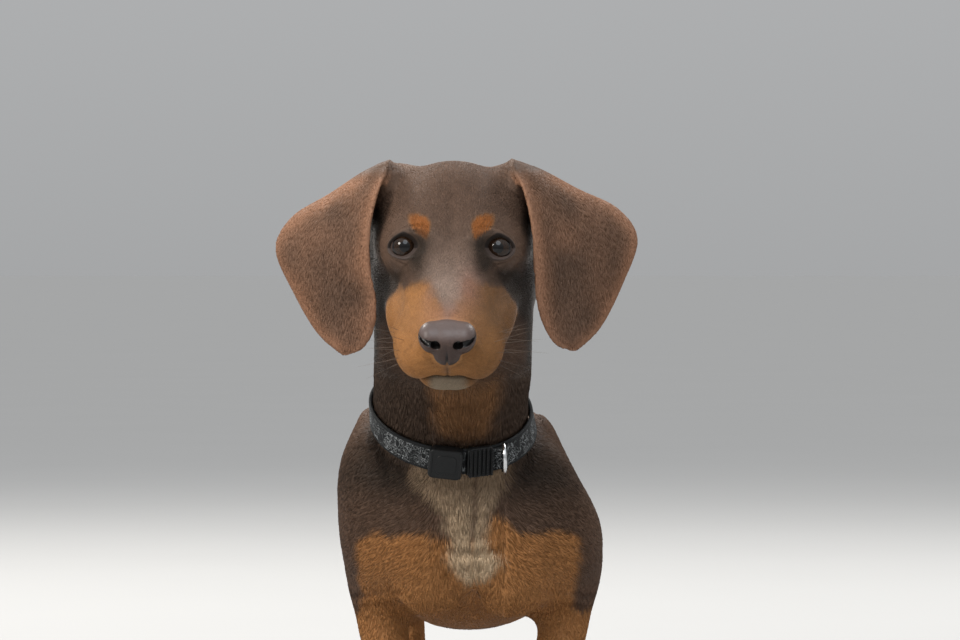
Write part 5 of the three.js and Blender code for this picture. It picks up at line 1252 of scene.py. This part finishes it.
# across: inner face, rounded edge, outer face with a slight dip by the stitched edges
prof = [(-7.2, 0.05), (-7.5, 0.45), (-7.5, 1.35), (-7.15, 1.8)] + [(w, 1.86 - 0.10 * bell(abs(w) - 5.9, 0.35)) for w in np.linspace(-6.7, 6.7, 27)] + [(7.15, 1.8), (7.5, 1.35), (7.5, 0.45), (7.2, 0.05)] + [(w, 0.0) for w in np.linspace(6.4, -6.4, 9)]
rings = []
arc = np.zeros(STEPS)
for i, dg in enumerate(deg):
    row = []
    for w, h in prof:
        k = (w + 7.5) / 15
        r = lo[i] * (1 - k) + hi[i] * k + h
        row.append(on_collar(np.array(dg), np.array(r), w))
    rings.append(row)
rings = np.array(rings)
centre = rings[:, 17]
arc = np.cumsum(np.linalg.norm(centre - np.roll(centre, 1, 0), axis=1))
P_, F_ = join_rings(rings, True)
band = new_object("collar_webbing", P_, F_)
outward(band)
wv = np.stack([np.repeat(arc, len(prof)), np.tile([w for w, _ in prof], STEPS), np.zeros(STEPS * len(prof))], 1)
band.data.attributes.new("weave", "FLOAT_VECTOR", "POINT").data.foreach_set("vector", wv.astype(np.float32).ravel())

def seat(angle, thick_out=0.0, mean=False):
    """a place on the band: the radii of its two edges, along it, across it and outward"""
    l, h = float(band_radius(angle, -7.5)), float(band_radius(angle, 7.5))
    up = on_collar(np.array(angle), np.array(h), 7.5) - on_collar(np.array(angle), np.array(l), -7.5)
    up /= np.linalg.norm(up)
    al = on_collar(np.array(angle + 4.0), np.array(float(band_radius(angle + 4, -7.5) + band_radius(angle + 4, 7.5)) / 2), 0) - on_collar(np.array(angle - 4.0), np.array(float(band_radius(angle - 4, -7.5) + band_radius(angle - 4, 7.5)) / 2), 0)
    al /= np.linalg.norm(al)
    out = np.cross(al, up); out /= np.linalg.norm(out)
    if out.dot(on_collar(np.array(angle), np.array(1.0), 0) - on_collar(np.array(angle), np.array(0.0), 0)) < 0:
        out = -out
    return l, h, al, up, out

def rounded_plate(length, width, z0, z1, corner, bevel, steps=6, rings_in=((0, 0),), dish=0.0):
    """a rounded rectangle standing along +z, with softened upper edge; grid of rings closed by caps"""
    def outline(inset):
        a, b, c = length / 2 - inset, width / 2 - inset, max(corner - inset, 0.3)
        pts = []
        for cx, cy, s0 in ((a - c, b - c, 0), (-a + c, b - c, 90), (-a + c, -b + c, 180), (a - c, -b + c, 270)):
            for k in range(steps + 1):
                t = radians(s0 + 90 * k / steps)
                pts.append((cx + c * cos(t), cy + c * sin(t)))
        return np.array(pts)
    rows = [(0, z0)] + [(bevel * (1 - cos(radians(q))), z1 - bevel * (1 - sin(radians(q)))) for q in (0, 22, 45, 67, 90)]
    R = []
    for inset, zz in rows:
        o = outline(inset)
        R.append(np.concatenate([o, np.full((len(o), 1), zz)], 1))
    return join_rings(np.array(R))

def place(Pl, origin, al, up, out):
    return origin + Pl[:, :1] * al + Pl[:, 1:2] * up + Pl[:, 2:3] * out

# buckle: a smooth body with a low raised square on its face and a rib across each end
l, h, al, up, out = seat(-96.0)
r0 = max(float(band_radius(-96, -7.5) * 1 / 6 + band_radius(-96, 7.5) * 5 / 6), float(band_radius(-96, -7.5) * 5 / 6 + band_radius(-96, 7.5) * 1 / 6)) - 0.1
o_ = on_collar(np.array(-96.0), np.array(r0), 0)
upr = np.cross(out, al)
pts, fcs = [], []
p, f = rounded_plate(19, 18, 0.6, 7.0, 3.0, 1.2); pts.append((place(p, o_, al, upr, out), f))
p, f = rounded_plate(11.5, 11.5, 6.2, 7.35, 2.6, 0.5); pts.append((place(p + (0.6, 0, 0), o_, al, upr, out), f))
for x_ in (-8.0, 8.6):
    p, f = rounded_plate(1.5, 15.5, 6.0, 7.3, 0.6, 0.35); pts.append((place(p + (x_, 0, 0), o_, al, upr, out), f))
buckle = new_object("collar_buckle_body", *gather(pts)); outward(buckle)
# slider: a frame with cross ribs
l, h, al, up, out = seat(-74.0)
r0 = max(float(band_radius(-74, -7.5) * 1 / 6 + band_radius(-74, 7.5) * 5 / 6), float(band_radius(-74, -7.5) * 5 / 6 + band_radius(-74, 7.5) * 1 / 6)) - 0.1
o_ = on_collar(np.array(-74.0), np.array(r0), 0)
upr = np.cross(out, al)
pts = []
p, f = rounded_plate(16, 17.5, 0.6, 3.6, 3.0, 0.8); pts.append((place(p, o_, al, upr, out), f))
for x_ in np.linspace(-6.4, 6.4, 6):
    p, f = rounded_plate(1.35, 16.4, 3.2, 5.0, 0.6, 0.5); pts.append((place(p + (x_, 0, 0), o_, al, upr, out), f))
slider = new_object("collar_slider_body", *gather(pts)); outward(slider)
# ring and its folded keeper
l, h, al, up, out = seat(-57.0)
base = on_collar(np.array(-57.0), np.array((l + h) / 2 + CTHICK), 0)
al = al - up * al.dot(up); al /= np.linalg.norm(al)
out = np.cross(al, up)
if out.dot(on_collar(np.array(-57.0), np.array(1.0), 0) - on_collar(np.array(-57.0), np.array(0.0), 0)) < 0:
    out = -out
path = [(-8.6 + 17.2 * k / 12, 1.45) for k in range(13)]
for k in range(1, 36):
    a = pi * k / 36
    path.append((8.6 * cos(a) * (1 + 0.06 * sin(a)), 1.45 + 10.3 * sin(a) ** 0.8))
path = np.array(path)
# the corners of the wire are rounded
for _ in range(2):
    path = (np.roll(path, 1, 0) + 2 * path + np.roll(path, -1, 0)) / 4
tipped = out * cos(radians(33)) - al * sin(radians(33))
PP = base + out * 1.45 + path[:, :1] * up + (path[:, 1:] - 1.45) * tipped
P_, F_ = tube(PP, 1.1, 14, True, hint=al)
dring = new_object("collar_dring", P_, F_); outward(dring)
def keeper_line(t):
    """folded webbing over the wire: -1..1 along the band"""
    x_ = t * 4.8
    return x_, 0.25 + 3.3 * np.exp(-(np.abs(x_) / 2.25) ** 2.6)
t = np.linspace(-1, 1, 45)
X_, Z_ = keeper_line(t)
loop = np.concatenate([np.stack([X_, Z_ + 0.95], 1), np.stack([X_[::-1], np.full(45, 0.05)], 1)])
loop[:45, 1] *= sstep(1.02, 0.93, np.abs(t))
rows = np.linspace(-6.5, 6.5, 21)
R = np.array([[base + q[0] * al + w * up + q[1] * out for q in loop] for w in rows])
P_, F_ = join_rings(R)
keeper = new_object("collar_fold", P_, F_); outward(keeper)
wk = np.stack([np.tile(loop[:, 0] * 1.3, len(rows)), np.repeat(rows, len(loop)), np.zeros(len(rows) * len(loop))], 1)
keeper.data.attributes.new("weave", "FLOAT_VECTOR", "POINT").data.foreach_set("vector", wk.astype(np.float32).ravel())
tick("collar")

# ------------------------------------------------------------------ whiskers, brow hairs and lashes
hairs = []
def on_skin(p, d):
    h = tree.ray_cast(Vector(p - np.asarray(d) * 60), Vector(d), 120)
    if h[0] is None:
        h = tree.find_nearest(Vector(p))
    return np.array(h[0][:]), np.array(h[1][:])
def hair(p, n, bend, length, r0=0.16, sides=5, steps=9, n_mix=0.75):
    d = n * n_mix + np.asarray(bend) * (1 - n_mix) * 1.4
    d /= np.linalg.norm(d)
    b = np.asarray(bend, float)
    t = np.linspace(0, 1, steps)
    P_ = p - n * 0.7 + (d * length)[None] * t[:, None] + (b * length * 0.30)[None] * (t ** 2)[:, None]
    return tube(P_, r0 * (1.02 - t) ** 0.8 + 0.012, sides, hint=(0.3, 0.5, 0.81))
for side in (1, -1):
    for row, (u0, fa, fb, k) in enumerate(((-25, 44, 54, 2), (-30, 39, 56, 3), (-35.5, 37, 56, 3), (-41, 40, 53, 2))):
        for f0 in np.linspace(fa, fb, k):
            q = from_head(side * 20, f0 + rng.uniform(-1, 1), u0 + rng.uniform(-0.8, 0.8))
            p, n = on_skin(q + HS * side * 10, -HS * side)
            n = n if n.dot(HS * side) > 0 else -n
            back = -HF * 0.55 + HS * side * 0.35 - HU * (0.25 + 0.12 * row)
            hairs.append(hair(p, n, back, rng.uniform(12, 24), 0.09))
    for k in range(2):
        q = from_head(side * (19 + 4.0 * k), -3 + rng.uniform(-1, 1), 14)
        p, n = on_skin(q + HU * 6, -HU)
        n = n if n.dot(HU) > 0 else -n
        hairs.append(hair(p, n, HS * side * 0.5 + HF * 0.3 + HU * 0.2, rng.uniform(7, 12), 0.08))
for k in range(5):
    q = from_head(rng.uniform(-9, 9), 46 + rng.uniform(-4, 5), -62)
    p, n = on_skin(q - HU * 6, HU)
    n = n if n.dot(HU) < 0 else -n
    hairs.append(hair(p, n, -HU * 0.4 - HF * 0.3 + HS * rng.uniform(-0.5, 0.5), rng.uniform(7, 12), 0.08))
whiskers = new_object("whiskers", *gather(hairs)); outward(whiskers)
hairs = []
for side in (1, -1):
    o, up, g = eye_frame(side)
    for k in range(19):
        al_ = -0.62 + 1.30 * k / 18
        a0 = 0.86 if al_ > 0 else 0.98
        be_ = 0.70 * max(0.0, 1 - (abs(al_) / a0) ** 1.75) ** (1 / 1.75) + 0.05 * al_ + 0.03 + 0.06
        d = o * sin(al_) * cos(be_) + up * sin(be_) + g * cos(al_) * cos(be_)
        p = EYES[side] + d * (EYE_R + 1.25)
        hairs.append(hair(p, d, g * 0.5 + up * 0.25 + o * al_ * 0.6, rng.uniform(2.4, 3.6), 0.11, 5, 6, 0.4))
lashes = new_object("lashes", *gather(hairs)); outward(lashes)
tick("hairs")

# ------------------------------------------------------------------ materials
class Graph:
    def __init__(self, name):
        self.m = bpy.data.materials.new(name)
        self.m.use_nodes = True
        self.t = self.m.node_tree
        self.b = self.t.nodes["Principled BSDF"]
    def put(self, socket, value):
        if hasattr(value, "links") or isinstance(value, bpy.types.NodeSocket):
            self.t.links.new(value, socket)
        else:
            socket.default_value = value
    def node(self, kind, **kw):
        n = self.t.nodes.new(kind)
        for k, v in kw.items():
            setattr(n, k, v)
        return n
    def attr(self, name):
        n = self.node("ShaderNodeAttribute", attribute_name=name, attribute_type="GEOMETRY")
        return n
    def channels(self, name):
        s = self.node("ShaderNodeSeparateColor")
        self.t.links.new(self.attr(name).outputs["Color"], s.inputs[0])
        return s.outputs
    def math(self, op, a, b=None, c=None, clamp=False):
        n = self.node("ShaderNodeMath", operation=op, use_clamp=clamp)
        for i, v in enumerate((a, b, c)):
            if v is not None:
                self.put(n.inputs[i], v)
        return n.outputs[0]
    def mix(self, f, a, b, blend="MIX"):
        n = self.node("ShaderNodeMix", data_type="RGBA", blend_type=blend)
        n.clamp_factor = True
        ins = [s for s in n.inputs if s.type == "RGBA"]
        self.put(n.inputs[0], f)
        for s, v in zip(ins, (a, b)):
            self.put(s, v if not isinstance(v, tuple) or len(v) == 4 else v + (1.0,))
        return [s for s in n.outputs if s.type == "RGBA"][0]
    def noise(self, vec, scale, detail=2.0, rough=0.5):
        n = self.node("ShaderNodeTexNoise")
        n.inputs["Scale"].default_value = scale
        n.inputs["Detail"].default_value = detail
        n.inputs["Roughness"].default_value = rough
        if vec is not None:
            self.t.links.new(vec, n.inputs["Vector"])
        return n.outputs[0]
    def where(self):
        return self.node("ShaderNodeTexCoord").outputs["Object"]
    def bump(self, height, strength, distance):
        n = self.node("ShaderNodeBump")
        n.inputs["Strength"].default_value = strength
        n.inputs["Distance"].default_value = distance
        self.t.links.new(height, n.inputs["Height"])
        self.t.links.new(n.outputs[0], self.b.inputs["Normal"])
    def range(self, v, a, b, c, d):
        n = self.node("ShaderNodeMapRange")
        self.put(n.inputs[0], v)
        for i, q in enumerate((a, b, c, d)):
            n.inputs[i + 1].default_value = q
        return n.outputs[0]
    def grey(self, v):
        n = self.node("ShaderNodeCombineColor")
        for i in range(3):
            self.put(n.inputs[i], v)
        return n.outputs[0]
    def set(self, **kw):
        for k, v in kw.items():
            self.b.inputs[k.replace("_", " ")].default_value = v

BROWN = (0.108, 0.062, 0.040)
DARK = (0.024, 0.017, 0.012)
TAN = (0.345, 0.158, 0.052)
RUST = (0.27, 0.092, 0.022)
BODYTAN = (0.33, 0.150, 0.052)
PALE = (0.205, 0.142, 0.090)
CREAM = (0.56, 0.41, 0.265)
CHIN = (0.25, 0.195, 0.135)
GREY = (0.28, 0.200, 0.156)
WARM_EAR_AND_RIM_LIGHT = (0.29, 0.148, 0.086)
PINK = (0.28, 0.145, 0.100)
LINE = (0.010, 0.007, 0.006)
LID = (0.060, 0.042, 0.036)
def hide_colour(g, fine):
    a, b, c, d = (g.channels(k) for k in ("mk_a", "mk_b", "mk_c", "mk_d"))
    # redder ears, lightest at their edges as painted rim light
    col = g.mix(c[0], BROWN, WARM_EAR_AND_RIM_LIGHT)
    col = g.mix(b[0], col, GREY)
    height = g.node("ShaderNodeSeparateXYZ"); g.t.links.new(g.where(), height.inputs[0])
    low = g.mix(g.range(height.outputs[2], 0.235, 0.245, 0, 1), BODYTAN, RUST)
    col = g.mix(a[0], col, g.mix(d[1], low, TAN))
    # dark marks, much of them painted shade: under the eyes, behind the cheeks, by the ears, on the neck and shoulders
    col = g.mix(g.math("MULTIPLY", a[2], 0.9), col, DARK)
    col = g.mix(a[1], col, g.mix(g.range(height.outputs[2], 0.108, 0.152, 1, 0), PALE, CREAM))
    col = g.mix(d[2], col, CHIN)
    col = g.mix(g.math("MULTIPLY", b[1], 0.75), col, PINK)
    n = g.noise(g.where(), 900.0, 2.0, 0.6)
    # each lock lighter towards its tip and darker at its root: the lighter tips are painted highlight
    k = g.math("MULTIPLY", g.range(c[2], 0.0, 1.0, 0.76, 1.26), g.range(d[0], 0.0, 1.0, 0.84, 1.14))
    if fine:
        k = g.math("MULTIPLY", k, g.range(n, 0.25, 0.75, 0.87, 1.13))
    col = g.mix(1.0, col, g.grey(k), "MULTIPLY")
    # dark lines: lip and lid edges, with painted shade in the mouth's furrow, the groove under the nose and the
    # nostrils
    col = g.mix(b[2], col, LINE)
    col = g.mix(c[1], col, LID)
    return col, d, n

g = Graph("coat")
col, d, n = hide_colour(g, True)
g.t.links.new(col, g.b.inputs["Base Color"])
g.set(Roughness=0.60)
g.b.inputs["Specular IOR Level"].default_value = 0.18
coat_m = g.m
g = Graph("hide")
col, d, n = hide_colour(g, True)
g.t.links.new(col, g.b.inputs["Base Color"])
g.set(Roughness=0.62)
g.b.inputs["Specular IOR Level"].default_value = 0.22
g.bump(g.noise(g.where(), 1500.0, 2.0, 0.6), 0.35, 0.0003)
hide_m = g.m

g = Graph("eye")
th = g.attr("theta").outputs["Fac"]
fib = g.noise(g.where(), 1400.0, 3.0, 0.6)
iris = g.mix(g.range(fib, 0.35, 0.65, 0, 1), (0.008, 0.004, 0.0022), (0.030, 0.0145, 0.007))
col = g.mix(g.range(th, 0.33, 0.37, 1, 0), iris, (0.0022, 0.002, 0.002))
col = g.mix(g.range(th, 0.76, 0.84, 0, 1), col, (0.003, 0.002, 0.002))
col = g.mix(g.range(th, 0.94, 1.0, 0, 1), col, (0.06, 0.042, 0.035))
g.t.links.new(col, g.b.inputs["Base Color"])
g.set(Roughness=0.04, IOR=1.40)
eye_m = g.m

g = Graph("nose")
hgt = g.attr("height").outputs["Fac"]
n1 = g.noise(g.where(), 260.0, 3.0, 0.6)
col = g.mix(g.range(n1, 0.35, 0.68, 0, 1), (0.030, 0.016, 0.012), (0.062, 0.034, 0.026))
# painted sky reflection: the top of the leather lighter and bluish grey
col = g.mix(g.range(hgt, -13.5, -11.0, 0, 0.8), col, (0.105, 0.074, 0.066))
col = g.mix(g.range(hgt, -14.0, -18.0, 0, 0.85), col, (0.034, 0.0145, 0.009))
# painted shade: the underside of the leather darkest
col = g.mix(g.range(hgt, -24.0, -29.0, 0, 1), col, (0.016, 0.008, 0.006))
# painted shade inside the nostrils
col = g.mix(g.attr("deep").outputs["Fac"], col, (0.005, 0.0035, 0.003))
g.t.links.new(col, g.b.inputs["Base Color"])
vn = g.node("ShaderNodeTexVoronoi"); vn.inputs["Scale"].default_value = 1300.0
g.t.links.new(g.where(), vn.inputs["Vector"])
g.bump(vn.outputs["Distance"], 0.35, 0.00015)
g.set(Roughness=0.40)
g.b.inputs["Specular IOR Level"].default_value = 0.42
nose_m = g.m

g = Graph("claw")
al_ = g.attr("along").outputs["Fac"]
n1 = g.noise(g.where(), 400.0, 3.0, 0.5)
col = g.mix(g.range(n1, 0.35, 0.65, 0, 1), (0.050, 0.030, 0.022), (0.095, 0.062, 0.045))
col = g.mix(g.range(al_, 0.5, 1.0, 0, 0.6), col, (0.20, 0.14, 0.10))
g.t.links.new(col, g.b.inputs["Base Color"])
g.bump(g.noise(g.where(), 900.0, 2.0, 0.5), 0.2, 0.0001)
g.set(Roughness=0.36, Coat_Weight=0.2, Coat_Roughness=0.3)
claw_m = g.m

g = Graph("webbing")
v = g.attr("weave").outputs["Vector"]
sep = g.node("ShaderNodeSeparateXYZ"); g.t.links.new(v, sep.inputs[0])
u_, w_ = sep.outputs[0], sep.outputs[1]
# herringbone: slanted ribs whose slant changes side from one row to the next
row = g.math("ABSOLUTE", g.math("SUBTRACT", g.math("FRACT", g.math("MULTIPLY", w_, 0.34)), 0.5))
rib = g.math("SINE", g.math("MULTIPLY", g.math("ADD", u_, g.math("MULTIPLY", row, 3.2)), 5.9))
cross = g.math("SINE", g.math("MULTIPLY", w_, 8.2))
weave = g.math("ADD", g.math("MULTIPLY", rib, 0.5), g.math("MULTIPLY", cross, 0.35))
comb = g.node("ShaderNodeCombineXYZ"); g.put(comb.inputs[0], u_); g.put(comb.inputs[1], w_)
big = g.noise(comb.outputs[0], 0.16, 2.0, 0.5)
warp = g.node("ShaderNodeVectorMath", operation="ADD")
sw = g.node("ShaderNodeVectorMath", operation="SCALE")
nn = g.node("ShaderNodeTexNoise"); nn.inputs["Scale"].default_value = 0.22
g.t.links.new(comb.outputs[0], nn.inputs["Vector"])
g.t.links.new(nn.outputs["Color"], sw.inputs[0]); sw.inputs["Scale"].default_value = 9.0
g.t.links.new(comb.outputs[0], warp.inputs[0]); g.t.links.new(sw.outputs[0], warp.inputs[1])
pat = g.noise(warp.outputs[0], 0.55, 1.0, 0.4)
edge = g.range(g.math("ABSOLUTE", w_), 5.6, 6.3, 1, 0)
swirl = g.math("MULTIPLY", g.range(g.math("ABSOLUTE", g.math("SUBTRACT", pat, 0.5)), 0.012, 0.05, 1, 0), g.range(big, 0.34, 0.54, 0, 1))
swirl = g.math("MULTIPLY", swirl, edge)
col = g.mix(g.range(weave, -0.8, 0.8, 0, 1), (0.005, 0.0055, 0.006), (0.013, 0.014, 0.015))
col = g.mix(g.math("MULTIPLY", swirl, 0.8), col, (0.33, 0.345, 0.35))
g.t.links.new(col, g.b.inputs["Base Color"])
g.bump(weave, 0.6, 0.00022)
g.set(Roughness=0.75)
g.b.inputs["Specular IOR Level"].default_value = 0.2
web_m = g.m

g = Graph("plastic")
n1 = g.noise(g.where(), 1100.0, 2.0, 0.5)
col = g.mix(g.range(n1, 0.3, 0.7, 0, 1), (0.0045, 0.005, 0.0055), (0.008, 0.0085, 0.009))
g.t.links.new(col, g.b.inputs["Base Color"])
g.bump(n1, 0.12, 0.00008)
g.set(Roughness=0.45)
g.b.inputs["Specular IOR Level"].default_value = 0.25
plastic_m = g.m
g = Graph("steel")
n1 = g.noise(g.where(), 700.0, 2.0, 0.5)
col = g.mix(g.range(n1, 0.3, 0.7, 0, 1), (0.62, 0.63, 0.64), (0.72, 0.73, 0.74))
g.t.links.new(col, g.b.inputs["Base Color"])
g.set(Roughness=0.2, Metallic=1.0)
steel_m = g.m
g = Graph("whisker")
n1 = g.noise(g.where(), 60.0, 1.0, 0.5)
col = g.mix(g.range(n1, 0.4, 0.6, 0, 1), (0.16, 0.11, 0.075), (0.05, 0.035, 0.026))
g.t.links.new(col, g.b.inputs["Base Color"]); g.set(Roughness=0.4)
whisker_m = g.m
g = Graph("lash")
n1 = g.noise(g.where(), 600.0, 1.0, 0.5)
col = g.mix(n1, (0.012, 0.009, 0.008), (0.03, 0.02, 0.016))
g.t.links.new(col, g.b.inputs["Base Color"]); g.set(Roughness=0.45)
lash_m = g.m

FLESH = ["head", "lower_jaw", "neck", "trunk", "tail", "ear_left", "ear_right"] + ["%s_%s" % (k, s) for k in ("foreleg", "forepaw", "thigh", "shank", "hindpaw") for s in ("left", "right")]
def dress(ob, mat, slot, *nodes):
    ob.data.materials.clear(); ob.data.materials.append(mat)
    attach(ob, "root")
    if nodes:
        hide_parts(*nodes)
dress(skin, hide_m, "coat", *FLESH)
for ob in coat:
    dress(ob, coat_m, "coat")
for ob, node in eyes:
    dress(ob, eye_m, "eye", node)
dress(nose_leather, nose_m, "nose", "nose")
for ob, nodes in claws:
    dress(ob, claw_m, "claw", *nodes)
dress(band, web_m, "collar_webbing", "collar_band")
dress(keeper, web_m, "collar_webbing", "collar_keeper")
dress(buckle, plastic_m, "collar_plastic", "collar_buckle")
dress(slider, plastic_m, "collar_plastic", "collar_slider")
dress(dring, steel_m, "collar_metal", "collar_ring")
dress(whiskers, whisker_m, "coat_tan")
dress(lashes, lash_m, "coat")

# ------------------------------------------------------------------ floor, light and camera
bpy.ops.mesh.primitive_plane_add(size=400, location=(0, 0, 0))
floor = bpy.context.object
floor.name = "floor"
g = Graph("floor")
n1 = g.noise(g.where(), 3.0, 2.0, 0.5)
col = g.mix(n1, (0.44, 0.438, 0.433), (0.455, 0.453, 0.448))
g.t.links.new(col, g.b.inputs["Base Color"]); g.set(Roughness=0.85)
g.b.inputs["Specular IOR Level"].default_value = 0.1
floor.data.materials.append(g.m)
world = bpy.data.worlds.new("studio") if not bpy.context.scene.world else bpy.context.scene.world
bpy.context.scene.world = world
world.use_nodes = True
wt = world.node_tree
bg = wt.nodes["Background"]
# brighter overhead than at the horizon, where it meets the floor's own tone
tc = wt.nodes.new("ShaderNodeTexCoord")
sp = wt.nodes.new("ShaderNodeSeparateXYZ")
mr = wt.nodes.new("ShaderNodeMapRange")
wt.links.new(tc.outputs["Generated"], sp.inputs[0]); wt.links.new(sp.outputs[2], mr.inputs[0])
mr.inputs[1].default_value, mr.inputs[2].default_value, mr.inputs[3].default_value, mr.inputs[4].default_value = 0.0, 1.0, 0.39, 1.06
wt.links.new(mr.outputs[0], bg.inputs[1])
bg.inputs[0].default_value = (0.97, 0.985, 1.0, 1)
def lamp(name, at, to, size, power, colour=(1, 1, 1)):
    L = bpy.data.lights.new(name, "AREA")
    L.shape = "DISK"; L.size = size; L.energy = power; L.color = colour
    ob = bpy.data.objects.new(name, L)
    ob.location = at
    ob.rotation_euler = (Vector(to) - Vector(at)).to_track_quat("-Z", "Y").to_euler()
    bpy.context.scene.collection.objects.link(ob)
lamp("key", (-1.7, -1.4, 1.4), (0, -0.2, 0.2), 0.7, 31, (1.0, 0.955, 0.89))
lamp("sky", (0.12, -1.6, 1.75), (0, -0.2, 0.25), 1.4, 18, (0.84, 0.92, 1.0))
lamp("rim_left", (-1.0, 1.3, 1.7), (0, -0.1, 0.22), 0.8, 34, (1.0, 0.965, 0.91))
lamp("rim_right", (1.1, 1.2, 1.6), (0, -0.1, 0.22), 0.8, 20, (1.0, 0.98, 0.95))
bpy.context.scene.view_settings.view_transform = "Standard"
cam = bpy.data.cameras.new("camera")
cam.lens, cam.sensor_width, cam.clip_start, cam.clip_end = 163.65, 36.0, 0.05, 300.0
co = bpy.data.objects.new("camera", cam)
co.location = (0.0131, -2.6466, 0.274)
co.rotation_euler = (radians(90 - 0.656), 0, 0)
bpy.context.scene.collection.objects.link(co)
bpy.context.scene.camera = co

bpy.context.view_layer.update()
tick("done")
